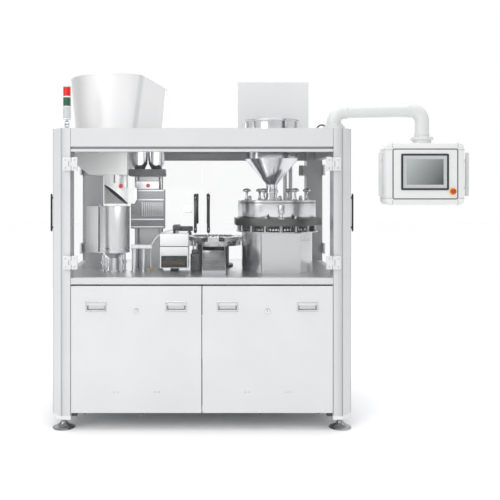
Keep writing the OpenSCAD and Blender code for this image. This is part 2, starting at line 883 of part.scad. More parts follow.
module turret_disc() {
    color("lightgray") translate([turret_x, turret_y, 0]) {
        translate([0, 0, turret_z0]) cylinder(r = turret_r, h = turret_t);
        translate([0, 0, turret_z0 + turret_t]) cylinder(r = 90, h = 22);
        translate([0, 0, shaft_end_z]) cylinder(r = shaft_r, h = turret_z0 - shaft_end_z + 1);
    }
}

// Blocks around the turret, each with a row of capsule bores.
module segment_blocks() {
    bores = 5;
    half_block = (turret_r - 60) * tan(180 / segment_count) - 2;
    color("silver") translate([turret_x, turret_y, turret_z0 + turret_t]) for (i = [0 : segment_count - 1])
        rotate([0, 0, i * 360 / segment_count]) translate([turret_r - 35, 0, 0]) difference() {
            span([-25, -half_block, 0], [52, half_block, segment_h]);
            for (j = [0 : bores - 1]) translate([26, (j - 2) * 15, -1]) cylinder(r = 4.5, h = segment_h + 2);
        }
}

// Sheet chute that takes filled capsules from the turret to the front.
module discharge_chute() {
    x0 = 0;
    w = 160;
    y1 = turret_y - turret_r - 38;
    y0 = y1 - 307;
    color("whitesmoke") translate([x0, 0, deck_z]) {
        for (x = [0, w - SHEET]) translate([x + SHEET, 0, 0]) rotate([0, -90, 0]) linear_extrude(SHEET)
            polygon([[0, y0], [63, y0], [173, y1 - 80], [173, y1], [0, y1]]);
        rotate([0, -90, 0]) translate([0, 0, -w + 1]) linear_extrude(w - 2)
            polygon([[25, y0], [28, y0], [138, y1], [135, y1]]);
        span([1, y0, 0], [w - 1, y0 + SHEET, 28]);
    }
}

// White housing on a black foot, with a bay for the reject drawer.
module inspection_housing() {
    w = inspect[3];
    d = inspect[4];
    color("whitesmoke") translate([inspect[0], inspect[1], deck_z + inspect[2]]) difference() {
        union() {
            cube([w, d, inspect[5]]);
            span([w / 2 - 28, d / 2 - 40, -inspect[2]], [w / 2 + 28, d / 2 + 40, 0]);
        }
        span([10, -1, 6], [w - 10, d - 8, 6 + drawer_h]);
    }
}

module reject_drawer() {
    w = inspect[3];
    d = inspect[4];
    color("black") translate([inspect[0], inspect[1], deck_z + inspect[2] + 6]) difference() {
        span([10.4, -4, SEAT], [w - 10.4, d - 10, drawer_h - 0.4]);
        span([13, 4, SEAT + 3], [w - 13, d - 13, drawer_h + 1]);
    }
}

// ---- drive in the cabinet ----

// Two indexing gearboxes under the deck, the motor on its stand and the belt to the main shaft.
module drive_unit() {
    belt_in = 0.4;
    color("steelblue") {
        difference() {
            union() {
                span([turret_x - 100, turret_y - 100, box_z0], [turret_x + 100, turret_y + 100, deck_z - deck_t]);
                span([dosing_x - 100, dosing_y - 100, box_z0], [dosing_x + 100, turret_y + 100, deck_z - deck_t]);
            }
            for (p = [[turret_x, turret_y], [dosing_x, dosing_y]]) translate([p[0], p[1], shaft_end_z - 1])
                cylinder(r = shaft_r + RUN, h = deck_z - shaft_end_z);
            translate([main_x0 - 50, turret_y, shaft_z]) rotate([0, 90, 0]) cylinder(r = main_r + RUN, h = 1200);
        }
        difference() {
            union() {
                translate([pulley_x - 370, turret_y, motor_z]) rotate([0, 90, 0]) cylinder(r = motor_r, h = 330);
                span([pulley_x - 340, turret_y - 80, floor_z + 4], [pulley_x - 80, turret_y + 80, motor_z - 60]);
            }
            translate([pulley_x - 90, turret_y, motor_z]) rotate([0, 90, 0]) cylinder(r = 14 + RUN, h = 60);
        }
        translate([pulley_x + 5, turret_y, 0]) difference() {
            hull() {
                translate([0, 0, shaft_z]) rotate([0, 90, 0]) cylinder(r = big_pulley_r + belt_in + 5, h = 20, $fn = 48);
                translate([0, 0, motor_z]) rotate([0, 90, 0]) cylinder(r = small_pulley_r + belt_in + 5, h = 20, $fn = 48);
            }
            hull() {
                translate([-1, 0, shaft_z]) rotate([0, 90, 0]) cylinder(r = big_pulley_r + belt_in, h = 22, $fn = 48);
                translate([-1, 0, motor_z]) rotate([0, 90, 0]) cylinder(r = small_pulley_r + belt_in, h = 22, $fn = 48);
            }
        }
    }
}

// Main shaft with two round cams and the large pulley.
module main_shaft() {
    color("silver") translate([0, turret_y, shaft_z]) rotate([0, 90, 0]) {
        translate([0, 0, main_x0]) cylinder(r = main_r, h = pulley_x + pulley_w - main_x0);
        for (x = [main_x0 + 30, (turret_x + dosing_x) / 2]) translate([0, 0, x]) cylinder(r = cam_r, h = 25);
        translate([0, 0, pulley_x]) cylinder(r = big_pulley_r, h = pulley_w);
    }
}

module drive_pulley() {
    color("silver") translate([pulley_x, turret_y, motor_z]) rotate([0, 90, 0]) {
        cylinder(r = small_pulley_r, h = pulley_w);
        translate([0, 0, -88]) cylinder(r = 14, h = 89);
    }
}

// Electrical cabinet on the floor pan.
module control_cabinet() {
    color("lightgray") translate([-in_x + 60, -200, floor_z + 4]) difference() {
        cube([480, 600, 640]);
        translate([2, 2, 2]) cube([476, 610, 636]);
    }
}

// Ports on the left rear panel: dust spigot, air boss and cable gland.
module service_ports() {
    x = -in_x / 2;
    color("silver") translate([x, half_d, panel_z0]) rotate([-90, 0, 0]) {
        translate([0, -200, 0]) {
            pipe(40, 3, 60);
            pipe(58, 20, 6);
        }
        translate([-200, -200, 0]) pipe(22, 12, 30);
        translate([200, -200, 0]) pipe(28, 12, 24);
    }
}

// ---- operator panel ----

module arm_base() {
    color("whitesmoke") translate([arm_x, arm_y, frame_h]) {
        cylinder(r = base_r, h = 16);
        cylinder(r = 24, h = 40);
    }
}

// Round tube arm with two elbows, drawn along +X from its pivot and then turned.
module hmi_arm() {
    color("whitesmoke") translate([arm_x, arm_y, 0]) rotate([0, 0, arm_turn]) difference() {
        union() {
            translate([0, 0, frame_h + 16 + SEAT]) cylinder(r = 58, h = 12);
            translate([0, 0, frame_h + 20]) cylinder(r = arm_r, h = arm_z - bend_r - frame_h - 20);
            translate([bend_r, 0, arm_z - bend_r]) rotate([90, 0, 0]) rotate([0, 0, 90])
                rotate_extrude(angle = 90) translate([bend_r, 0]) circle(r = arm_r);
            translate([bend_r, 0, arm_z]) rotate([0, 90, 0]) cylinder(r = arm_r - 3, h = arm_reach - 2 * bend_r);
            translate([arm_reach - bend_r, 0, arm_z - bend_r]) rotate([90, 0, 0])
                rotate_extrude(angle = 90) translate([bend_r, 0]) circle(r = arm_r);
            translate([arm_reach, 0, arm_flange_z]) cylinder(r = arm_r, h = arm_z - bend_r - arm_flange_z);
            translate([arm_reach, 0, arm_flange_z]) cylinder(r = base_r, h = 18);
        }
        translate([0, 0, frame_h]) cylinder(r = 24 + RUN, h = 41);
        translate([arm_reach, 0, arm_flange_z - 1]) cylinder(r = 20 + RUN, h = 42);
    }
}

// Case of the operator panel with its front plate, neck and the emergency stop's collar. Its
// cables pass up through the neck.
module hmi_case() {
    z = case_top - case_h / 2;
    front = case_y - case_d / 2;
    wall = 4;
    color("whitesmoke") difference() {
        union() {
            translate([case_x, front, z]) round_block(case_w, case_h, case_d, case_r);
            translate([case_x, front - face_t, z]) round_block(case_w - 100, case_h - 88, face_t + 1, 10);
            translate([case_x, case_y, case_top - 1]) cylinder(r = 62, h = arm_flange_z - SEAT - case_top + 1);
            translate([case_x, case_y, case_top]) cylinder(r = 20, h = arm_flange_z + 38 - case_top);
            translate([estop_x, front - face_t - 3, estop_z]) rotate([-90, 0, 0]) cylinder(r = 24, h = 4);
        }
        translate([estop_x, front - 20, estop_z]) rotate([-90, 0, 0]) cylinder(r = 8 + RUN, h = 56);
        translate([case_x, front + wall, z])
            round_block(case_w - 2 * wall, case_h - 2 * wall, case_d - 2 * wall, case_r - wall);
        translate([case_x, case_y, case_top - 10]) cylinder(r = 13, h = 90);
    }
}

// Bar handle on the right side of the case.
module hmi_handle() {
    z = case_top - case_h / 2;
    reach = 30;
    color("gainsboro") translate([case_x + case_w / 2, case_y, z]) {
        for (s = [-1, 1]) translate([0, 0, s * 87]) rotate([0, 90, 0]) cylinder(r = 8, h = reach);
        span([reach - 1, -14, -141], [reach + 22, 14, 141]);
    }
}

module hmi_screen() {
    z = case_top - case_h / 2 + 13;
    color("black") translate([case_x - 4, case_y - case_d / 2 - face_t - 5, z])
        round_block(screen_w, screen_h, 5, 5);
}

module estop_button() {
    front = case_y - case_d / 2 - face_t - 3;
    color("red") translate([estop_x, front, estop_z]) rotate([90, 0, 0]) {
        translate([0, 0, 6]) cylinder(r1 = estop_r, r2 = estop_r - 4, h = 14);
        translate([0, 0, -24]) cylinder(r = 8, h = 31);
    }
}

// ---- signal light ----

// Foot, stem and fork of the folding knuckle, with its pin.
module light_base() {
    color("silver") translate([light_x, light_y, 0]) {
        translate([0, 0, frame_h]) cylinder(r = 22, h = 6);
        translate([0, 0, frame_h]) cylinder(r = 10, h = 13);
        span([-14, -12, frame_h + 12], [14, 12, frame_h + 15]);
        for (s = [-1, 1]) {
            span([s * 11 - 3, -12, frame_h + 12], [s * 11 + 3, 12, knuckle_z]);
            translate([s * 11 - 3, 0, knuckle_z]) rotate([0, 90, 0]) cylinder(r = 12, h = 6);
        }
        translate([-14, 0, knuckle_z]) rotate([0, 90, 0]) cylinder(r = 4, h = 28);
    }
}

module stack_light() {
    color("firebrick") translate([light_x, light_y, knuckle_z]) difference() {
        union() {
            translate([-7.7, 0, 0]) rotate([0, 90, 0]) cylinder(r = 12, h = 15.4);
            span([-7.7, -9, 0], [7.7, 9, knuckle_r + 2]);
            translate([0, 0, knuckle_r]) cylinder(r = light_r, h = light_h);
        }
        translate([-14, 0, 0]) rotate([0, 90, 0]) cylinder(r = 4 + RUN, h = 28);
    }
}

corner_posts();
frame_rails();
floor_pan();
roof_cover();
deck_plate();
levelling_feet();
base_brackets();
cabinet_panels();
hinge_leaves();
capsule_hopper();
hopper_belly();
capsule_duct();
dust_tank();
magazine_frame();
magazine_cowl();
powder_hopper();
hopper_clamps();
loader_box();
dosing_housing();
dosing_cover();
dosing_columns();
dosing_ring();
powder_bowl();
bowl_lid();
level_sensor();
turret_column();
discharge_chute();
inspection_housing();
drive_unit();
control_cabinet();
service_ports();
arm_base();
light_base();
turret_disc();
segment_blocks();
dosing_disc();
main_shaft();
drive_pulley();
tamping_head();
magazine_block();
reject_drawer();
hmi_arm();
hmi_case();
hmi_handle();
hmi_screen();
estop_button();
stack_light();
powder_lid();
front_left_door();
front_right_door();
rear_left_door();
rear_right_door();
left_side_door();
right_side_door();
front_left_fittings();
front_right_fittings();
lower_panel_left();
lower_panel_right();
cam_lock_left();
cam_lock_right();
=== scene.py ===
import math

import bmesh
import bpy
import numpy as np
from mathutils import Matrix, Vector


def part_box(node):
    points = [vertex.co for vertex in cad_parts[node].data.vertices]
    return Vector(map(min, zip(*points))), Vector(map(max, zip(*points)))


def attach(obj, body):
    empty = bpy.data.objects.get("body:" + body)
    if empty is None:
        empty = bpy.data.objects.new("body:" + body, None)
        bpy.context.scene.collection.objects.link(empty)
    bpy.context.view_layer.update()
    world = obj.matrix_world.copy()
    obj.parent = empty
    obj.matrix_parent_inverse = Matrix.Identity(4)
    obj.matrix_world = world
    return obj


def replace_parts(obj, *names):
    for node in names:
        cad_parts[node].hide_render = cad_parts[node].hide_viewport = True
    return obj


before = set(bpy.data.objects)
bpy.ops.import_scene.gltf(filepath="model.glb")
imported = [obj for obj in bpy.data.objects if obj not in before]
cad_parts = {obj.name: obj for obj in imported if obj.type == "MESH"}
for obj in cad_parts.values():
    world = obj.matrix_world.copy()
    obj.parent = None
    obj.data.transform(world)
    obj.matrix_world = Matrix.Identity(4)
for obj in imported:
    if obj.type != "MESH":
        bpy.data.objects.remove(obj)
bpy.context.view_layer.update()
scene = bpy.context.scene

# ---- The camera ----
# An eye-level camera in front of the machine, a little right of its middle, with a normal lens.
# It looks level, and the lens is shifted so that the panel's arm stays in view.

eye = bpy.data.cameras.new("eye")
eye.lens = 50
eye.sensor_width = 36
eye.shift_x = 0.09
eye.shift_y = -0.114
eye_object = bpy.data.objects.new("eye", eye)
eye_object.location = (0.02, -5.136, 1.536)
eye_object.rotation_euler = (math.radians(90), 0, 0)
scene.collection.objects.link(eye_object)
scene.camera = eye_object

# ---- The studio ----
# A pale floor in a white room. Polished steel needs something dark to mirror, so the room that
# it sees has soft dark strips between the white walls, while the camera sees plain white.

scene.view_settings.view_transform = "Standard"


def shader(name):
    """A new node material and its Principled shader."""
    material = bpy.data.materials.new(name)
    material.use_nodes = True
    return material, material.node_tree.nodes["Principled BSDF"]


floor_mesh = bpy.data.meshes.new("floor")
floor_mesh.from_pydata([(-30, -30, 0), (30, -30, 0), (30, 30, 0), (-30, 30, 0)], [], [(0, 1, 2, 3)])
floor = bpy.data.objects.new("floor", floor_mesh)
scene.collection.objects.link(floor)
floor_paint, floor_shader = shader("floor paint")
floor_shader.inputs["Base Color"].default_value = (0.97, 0.97, 0.97, 1)
floor_shader.inputs["Roughness"].default_value = 0.85
floor_mesh.materials.append(floor_paint)

room = bpy.data.worlds.new("room")
room.use_nodes = True
scene.world = room
wire = room.node_tree.links.new
room_nodes = room.node_tree.nodes
walls = room_nodes["Background"]
direction = room_nodes.new("ShaderNodeTexCoord")
parts = room_nodes.new("ShaderNodeSeparateXYZ")
wire(direction.outputs["Generated"], parts.inputs[0])
bearing = room_nodes.new("ShaderNodeMath")
bearing.operation = "ARCTAN2"
wire(parts.outputs["X"], bearing.inputs[0])
wire(parts.outputs["Y"], bearing.inputs[1])
turn = room_nodes.new("ShaderNodeMapRange")
turn.inputs["From Min"].default_value = -math.pi
turn.inputs["From Max"].default_value = math.pi
wire(bearing.outputs[0], turn.inputs["Value"])
strips = room_nodes.new("ShaderNodeValToRGB")
strips.color_ramp.interpolation = "EASE"
strip_tones = [(0.0, 0.9), (0.08, 1.05), (0.2, 1.0), (0.25, 0.3), (0.31, 0.08), (0.35, 0.45), (0.42, 0.95),
    (0.5, 0.3), (0.58, 0.95), (0.66, 0.45), (0.7, 1.05), (0.8, 1.0), (0.83, 0.12), (0.87, 0.12),
    (0.9, 1.05), (1.0, 0.9)]
strips.color_ramp.elements[0].position = 0
strips.color_ramp.elements[1].position = 1
for place, tone in strip_tones[1:-1]:
    strips.color_ramp.elements.new(place)
for stop, (place, tone) in zip(strips.color_ramp.elements, strip_tones):
    stop.position = place
    stop.color = (tone, tone, tone * 1.01, 1)
wire(turn.outputs[0], strips.inputs[0])
overhead = room_nodes.new("ShaderNodeMapRange")
overhead.interpolation_type = "SMOOTHSTEP"
overhead.inputs["From Min"].default_value = 0.25
overhead.inputs["From Max"].default_value = 0.85
overhead.inputs["To Min"].default_value = 0.8
overhead.inputs["To Max"].default_value = 1.7
wire(parts.outputs["Z"], overhead.inputs["Value"])
lit_strips = room_nodes.new("ShaderNodeVectorMath")
lit_strips.operation = "SCALE"
wire(strips.outputs[0], lit_strips.inputs[0])
wire(overhead.outputs[0], lit_strips.inputs["Scale"])
seen = room_nodes.new("ShaderNodeLightPath")
soft = room_nodes.new("ShaderNodeVectorMath")
soft.operation = "SCALE"
soft.inputs[0].default_value = (0.74, 0.74, 0.75)
wire(overhead.outputs[0], soft.inputs["Scale"])
mirrored = room_nodes.new("ShaderNodeMix")
mirrored.data_type = "RGBA"
wire(seen.outputs["Is Glossy Ray"], mirrored.inputs["Factor"])
wire(soft.outputs[0], mirrored.inputs["A"])
wire(lit_strips.outputs[0], mirrored.inputs["B"])
choose = room_nodes.new("ShaderNodeMix")
choose.data_type = "RGBA"
wire(seen.outputs["Is Camera Ray"], choose.inputs["Factor"])
wire(mirrored.outputs["Result"], choose.inputs["A"])
choose.inputs["B"].default_value = (1, 1, 1, 1)
wire(choose.outputs["Result"], walls.inputs["Color"])
walls.inputs["Strength"].default_value = 1.0


def softbox(name, place, turn_deg, size, watts):
    """A square area light of that size at a place, turned from pointing down."""
    lamp = bpy.data.lights.new(name, "AREA")
    lamp.shape = "SQUARE"
    lamp.size = size
    lamp.energy = watts
    holder = bpy.data.objects.new(name, lamp)
    holder.location = place
    holder.rotation_euler = [math.radians(a) for a in turn_deg]
    scene.collection.objects.link(holder)


softbox("key", (-3.5, -5.5, 4.6), (55, 0, -30), 3.0, 95)
softbox("top", (0.3, -0.6, 5.0), (0, 0, 0), 3.0, 50)
softbox("inner glow", (0.0, 4.5, 3.2), (-60, 0, 0), 3.0, 50)
softbox("chamber strip", (-0.25, -0.62, 1.62), (62, 0, 0), 0.5, 1.4)

# ---- Posts, rails and the header ----
# The frame is folded and welded sheet with a satin pale paint. Posts are closed sections with a
# wide chamfer on the outer corner, and each stands on a thick end cap over its foot.


def socket(group, name, kind, way, value=None):
    """Adds a named input or output to a node group."""
    made = group.interface.new_socket(name, in_out=way, socket_type=kind)
    if value is not None:
        made.default_value = value


def grain_group(name, detail, stretched):
    """A node group that gives a 0 to 1 noise over the piece: lines if it is stretched, else clouds."""
    group = bpy.data.node_groups.new(name, "ShaderNodeTree")
    if stretched:
        socket(group, "Stretch", "NodeSocketVector", "INPUT", (1.0, 1.0, 1.0))
    else:
        socket(group, "Scale", "NodeSocketFloat", "INPUT", 5.0)
    socket(group, "Grain", "NodeSocketFloat", "OUTPUT")
    nodes, link = group.nodes, group.links.new
    given = nodes.new("NodeGroupInput")
    out = nodes.new("NodeGroupOutput")
    place = nodes.new("ShaderNodeTexCoord")
    noise = nodes.new("ShaderNodeTexNoise")
    noise.inputs["Detail"].default_value = detail
    if stretched:
        mapping = nodes.new("ShaderNodeMapping")
        link(place.outputs["Object"], mapping.inputs["Vector"])
        link(given.outputs["Stretch"], mapping.inputs["Scale"])
        link(mapping.outputs["Vector"], noise.inputs["Vector"])
        noise.inputs["Scale"].default_value = 1.0
    else:
        link(place.outputs["Object"], noise.inputs["Vector"])
        link(given.outputs["Scale"], noise.inputs["Scale"])
    link(noise.outputs["Fac"], out.inputs["Grain"])
    return group


CLOUDS = grain_group("soft clouds", 4.0, False)
LINES = grain_group("brush lines", 3.0, True)


def grain(material, group, value):
    """Places a grain group in a material and returns its output."""
    node = material.node_tree.nodes.new("ShaderNodeGroup")
    node.node_tree = group
    node.inputs[0].default_value = value
    return node.outputs["Grain"]


def spread(material, source, low, high):
    """Maps the middle of a grain, 0.3 to 0.7, to a range of values."""
    node = material.node_tree.nodes.new("ShaderNodeMapRange")
    node.inputs["From Min"].default_value = 0.3
    node.inputs["From Max"].default_value = 0.7
    node.inputs["To Min"].default_value = low
    node.inputs["To Max"].default_value = high
    material.node_tree.links.new(source, node.inputs["Value"])
    return node.outputs["Result"]


def tint(material, source, dark, light, target):
    """Blends between two colours by a grain and feeds the colour to a socket."""
    node = material.node_tree.nodes.new("ShaderNodeMix")
    node.data_type = "RGBA"
    node.inputs["A"].default_value = (*dark, 1)
    node.inputs["B"].default_value = (*light, 1)
    material.node_tree.links.new(spread(material, source, 0, 1), node.inputs["Factor"])
    material.node_tree.links.new(node.outputs["Result"], target)


def relief(material, source, depth, target):
    """A fine bump from a grain."""
    node = material.node_tree.nodes.new("ShaderNodeBump")
    node.inputs["Strength"].default_value = 0.5
    node.inputs["Distance"].default_value = depth
    material.node_tree.links.new(source, node.inputs["Height"])
    material.node_tree.links.new(node.outputs["Normal"], target)


def paint(name, colour, rough=0.38, coat=0.15):
    """Sprayed paint: faint clouds in its tone and gloss, a fine orange peel and a thin clear coat."""
    material, skin = shader(name)
    clouds = grain(material, CLOUDS, 3.0)
    duller, brighter = [c * 0.975 for c in colour], [min(1, c * 1.02) for c in colour]
    tint(material, clouds, duller, brighter, skin.inputs["Base Color"])
    gloss = spread(material, clouds, rough - 0.05, rough + 0.05)
    material.node_tree.links.new(gloss, skin.inputs["Roughness"])
    relief(material, grain(material, CLOUDS, 900.0), 0.00006, skin.inputs["Normal"])
    skin.inputs["Coat Weight"].default_value = coat
    skin.inputs["Coat Roughness"].default_value = 0.25
    return material


PALE = paint("pale frame paint", (0.66, 0.665, 0.665))
FRAME_PAINT = paint("frame paint with painted chamber shade", (0.66, 0.665, 0.665))


def node_box(name):
    """The lowest and highest corner of a CAD piece as arrays."""
    low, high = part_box(name)
    return np.array(low), np.array(high)


POST_W, POST_CUT = 0.126, 0.065
post_high = node_box("corner_posts")[1]
ROOF_Z = post_high[2]
DECK_Z = node_box("deck_plate")[1][2]
SKIN = 0.003


def chamber_shade_group():
    """A painted shade mask that is 1 on the faces that look into the chamber: a skin inside the frame's
    outline and its corner chamfers, by the size of x, of y and of their sum, and between the deck and the
    roof. The frame paint is darkened there as painted shade."""
    group = bpy.data.node_groups.new("chamber painted shade mask", "ShaderNodeTree")
    socket(group, "Half Width", "NodeSocketFloat", "INPUT", post_high[0] - SKIN)
    socket(group, "Half Depth", "NodeSocketFloat", "INPUT", post_high[1] - SKIN)
    socket(group, "Mask", "NodeSocketFloat", "OUTPUT")
    nodes, link = group.nodes, group.links.new
    given, out = nodes.new("NodeGroupInput"), nodes.new("NodeGroupOutput")
    place, axes = nodes.new("ShaderNodeTexCoord"), nodes.new("ShaderNodeSeparateXYZ")
    link(place.outputs["Object"], axes.inputs[0])

    def step(operation, first, second=None):
        node = nodes.new("ShaderNodeMath")
        node.operation = operation
        for slot, value in enumerate((first, second)):
            if isinstance(value, (int, float)):
                node.inputs[slot].default_value = value
            elif value is not None:
                link(value, node.inputs[slot])
        return node.outputs[0]

    x, y = step("ABSOLUTE", axes.outputs["X"]), step("ABSOLUTE", axes.outputs["Y"])
    inside = step("MULTIPLY", step("LESS_THAN", x, given.outputs["Half Width"]),
        step("LESS_THAN", y, given.outputs["Half Depth"]))
    corner = float(post_high[0] + post_high[1]) - POST_CUT - SKIN
    inside = step("MULTIPLY", inside, step("LESS_THAN", step("ADD", x, y), corner))
    inside = step("MULTIPLY", inside, step("LESS_THAN", axes.outputs["Z"], float(ROOF_Z) - 0.004))
    above_deck = step("GREATER_THAN", axes.outputs["Z"], float(DECK_Z) + SKIN)
    link(step("MULTIPLY", inside, above_deck), out.inputs["Mask"])
    return group


# Faces of the frame that look into the chamber are mixed to a dark grey: painted shade.
chamber_shade_node = FRAME_PAINT.node_tree.nodes.new("ShaderNodeGroup")
chamber_shade_node.node_tree = chamber_shade_group()
chamber_shade_mix = FRAME_PAINT.node_tree.nodes.new("ShaderNodeMix")
chamber_shade_mix.data_type = "RGBA"
chamber_shade_mix.inputs["B"].default_value = (0.33, 0.335, 0.34, 1)
frame_skin = FRAME_PAINT.node_tree.nodes["Principled BSDF"]
clean = frame_skin.inputs["Base Color"].links[0].from_socket
FRAME_PAINT.node_tree.links.new(clean, chamber_shade_mix.inputs["A"])
FRAME_PAINT.node_tree.links.new(chamber_shade_node.outputs["Mask"], chamber_shade_mix.inputs["Factor"])
FRAME_PAINT.node_tree.links.new(chamber_shade_mix.outputs["Result"], frame_skin.inputs["Base Color"])
PALER = paint("pale panel paint", (0.71, 0.715, 0.715))
CAP = paint("end cap paint", (0.78, 0.785, 0.78), 0.3)
DARK_PAINT = paint("dark bracket paint", (0.07, 0.072, 0.075), 0.5, 0)


def dress(name, finish, edge=0.0):
    """Gives a CAD piece its finish and, if asked, a small rolled edge."""
    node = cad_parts[name]
    node.data.materials.clear()
    node.data.materials.append(finish)
    if edge:
        weld = node.modifiers.new("weld", "WELD")
        weld.merge_threshold = 0.00001
        roll = node.modifiers.new("edge", "BEVEL")
        roll.width = edge
        roll.segments = 2
        roll.limit_method = "ANGLE"
        roll.angle_limit = math.radians(50)
        level = node.modifiers.new("level", "WEIGHTED_NORMAL")
        level.weight = 100


for member in ("corner_posts", "frame_rails", "roof_cover"):
    dress(member, FRAME_PAINT, 0.002 if member != "roof_cover" else 0)
dress("cabinet_panels", PALER, 0.0015)
dress("base_brackets", DARK_PAINT, 0.002)


def quads(rows, columns, wrap_rows, wrap_columns):
    """The squares that join each point of a grid of rows and columns to its neighbours."""
    row_starts, column_starts = np.arange(rows - (not wrap_rows)), np.arange(columns - (not wrap_columns))
    i, j = np.meshgrid(row_starts, column_starts, indexing="ij")
    below, beside = (i + 1) % rows, (j + 1) % columns
    corners = [i * columns + j, below * columns + j, below * columns + beside, i * columns + beside]
    return np.stack(corners, -1).reshape(-1, 4).tolist()


def lofted(rings, closed=False):
    """A skin over equal rings of points, rings[k, i]. The ends get flat caps, or join if closed."""
    rings = np.asarray(rings, float)
    count, around = rings.shape[:2]
    faces = quads(count, around, closed, True)
    if not closed:
        faces += [list(range(around))[::-1], list(range((count - 1) * around, count * around))]
    return rings.reshape(-1, 3), faces


def piece(name, shapes, body, finish, sharp=38):
    """One closed mesh from lofts, with its doubles merged and faces outwards, on a CAD body."""
    points, faces, count = [], [], 0
    for shape_points, shape_faces in shapes:
        points.append(np.asarray(shape_points, float))
        faces += [[i + count for i in face] for face in shape_faces]
        count += len(shape_points)
    mesh = bpy.data.meshes.new(name)
    mesh.from_pydata(np.vstack(points), [], faces)
    work = bmesh.new()
    work.from_mesh(mesh)
    bmesh.ops.remove_doubles(work, verts=work.verts, dist=0.00001)
    bmesh.ops.dissolve_degenerate(work, edges=work.edges, dist=0.000001)
    bmesh.ops.recalc_face_normals(work, faces=work.faces)
    work.to_mesh(mesh)
    work.free()
    mesh.shade_smooth()
    mesh.set_sharp_from_angle(angle=math.radians(sharp))
    mesh.materials.append(finish)
    made = bpy.data.objects.new(name, mesh)
    scene.collection.objects.link(made)
    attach(made, body)
    return made


def post_ring(side_x, side_y, grow, z):
    """The outline of a post: a square with its outer corner cut off, grown outwards."""
    w, c = POST_W + grow, POST_CUT - grow * 0.4
    shape = np.array([(c, -grow), (w, -grow), (w, w), (-grow, w), (-grow, c)])
    x = side_x * (post_high[0] - shape[:, 0])
    y = side_y * (post_high[1] - shape[:, 1])
    return np.stack([x, y, np.full(5, z)], -1)


CAP_TOP = 0.0945
caps = []
for side_x in (-1, 1):
    for side_y in (-1, 1):
        steps = [(0.0, 0.0705), (0.0015, 0.072), (0.0015, 0.093), (0.0, CAP_TOP)]
        caps.append(lofted([post_ring(side_x, side_y, grow, z) for grow, z in steps]))
piece("post_end_caps", caps, "frame", CAP)

FOLD_SHADE_GREY = paint("fold shadow", (0.23, 0.23, 0.23), 0.5, 0)


def rounded(low, high, r=0.002):
    """A box with rolled edges: the corner of an inner box plus r times a direction on a sphere."""
    low, high = np.minimum(low, high), np.maximum(low, high)
    middle, half = (low + high) / 2, (high - low) / 2
    r = min(r, half.min() * 0.98)
    quarter = np.linspace(0, math.pi / 2, 3)
    around = np.concatenate([quarter + k * math.pi / 2 for k in range(4)])
    side_x, side_y = np.repeat([1, -1, -1, 1], 3), np.repeat([1, 1, -1, -1], 3)
    up = np.concatenate([quarter - math.pi / 2, quarter])
    side_z = np.repeat([-1, 1], 3)
    flat = np.cos(up)[:, None]
    x = side_x * (half[0] - r) + r * flat * np.cos(around)
    y = side_y * (half[1] - r) + r * flat * np.sin(around)
    z = np.broadcast_to((side_z * (half[2] - r) + r * np.sin(up))[:, None], x.shape)
    return lofted(middle + np.stack([x, y, z], -1))


# Thin dark strips along each fold of the posts are painted shade lines.
FOLD_HALF = 0.0011
fold_shade_lines = []
for side_x in (-1, 1):
    for side_y in (-1, 1):
        for inset_x, inset_y in ((POST_CUT, 0), (0, POST_CUT), (POST_W, 0), (0, POST_W)):
            middle = np.array([side_x * (post_high[0] - inset_x), side_y * (post_high[1] - inset_y)])
            low = (*(middle - FOLD_HALF), CAP_TOP + 0.001)
            fold_shade_lines.append(rounded(low, (*(middle + FOLD_HALF), ROOF_Z - 0.001), 0.0004))
piece("post_fold_shade_lines", fold_shade_lines, "frame", FOLD_SHADE_GREY)

# ---- Levelling feet ----
# Each foot is a turned bell of polished steel with a threaded spindle and a locking nut, so that
# the machine can be set level on an uneven floor.


def steel(name, colour, rough, stretch, depth=0.00004, sway=0.07, tone=0.9):
    """Bare steel: brush lines along one way in its tone, its gloss and its surface."""
    material, skin = shader(name)
    lines = grain(material, LINES, stretch)
    tint(material, lines, [c * tone for c in colour], colour, skin.inputs["Base Color"])
    gloss = spread(material, lines, rough - sway, rough + sway)
    material.node_tree.links.new(gloss, skin.inputs["Roughness"])
    relief(material, lines, depth, skin.inputs["Normal"])
    skin.inputs["Metallic"].default_value = 1.0
    return material


POLISHED = steel("polished steel", (0.72, 0.73, 0.75), 0.16, (30, 30, 30), 0.00001, 0.04, 0.93)
FOOT_STEEL = steel("turned foot steel", (0.42, 0.43, 0.44), 0.24, (20, 20, 900), 0.00002, 0.06, 0.85)


def turned(profile, centre, way=(0, 0, 1), sides=40):
    """A profile of (radius, height) points turned round an axis through a centre."""
    profile = np.asarray(profile, float)
    way = np.asarray(way, float) / np.linalg.norm(way)
    spare = np.array([1.0, 0, 0]) if abs(way[0]) < 0.9 else np.array([0, 1.0, 0])
    u = np.cross(way, spare)
    u /= np.linalg.norm(u)
    v = np.cross(way, u)
    a = np.linspace(0, 2 * math.pi, sides, endpoint=False)
    round_it = np.cos(a)[:, None] * u + np.sin(a)[:, None] * v
    rings = (np.asarray(centre, float) + profile[:, 1, None, None] * way
        + profile[:, 0, None, None] * round_it)
    return lofted(rings)


def rod(r, tall, centre, way=(0, 0, 1), sides=40):
    """A plain round bar of a radius and a length."""
    return turned([(0, 0), (r, 0), (r, tall), (0, tall)], centre, way, sides)


def thread(radius, low, high, pitch):
    """The profile of a screw thread: ridges a pitch apart between two heights."""
    steps = np.arange(low, high, pitch / 2)
    ridge = np.where(np.arange(len(steps)) % 2 == 0, radius, radius - pitch * 0.45)
    return list(zip(ridge, steps))


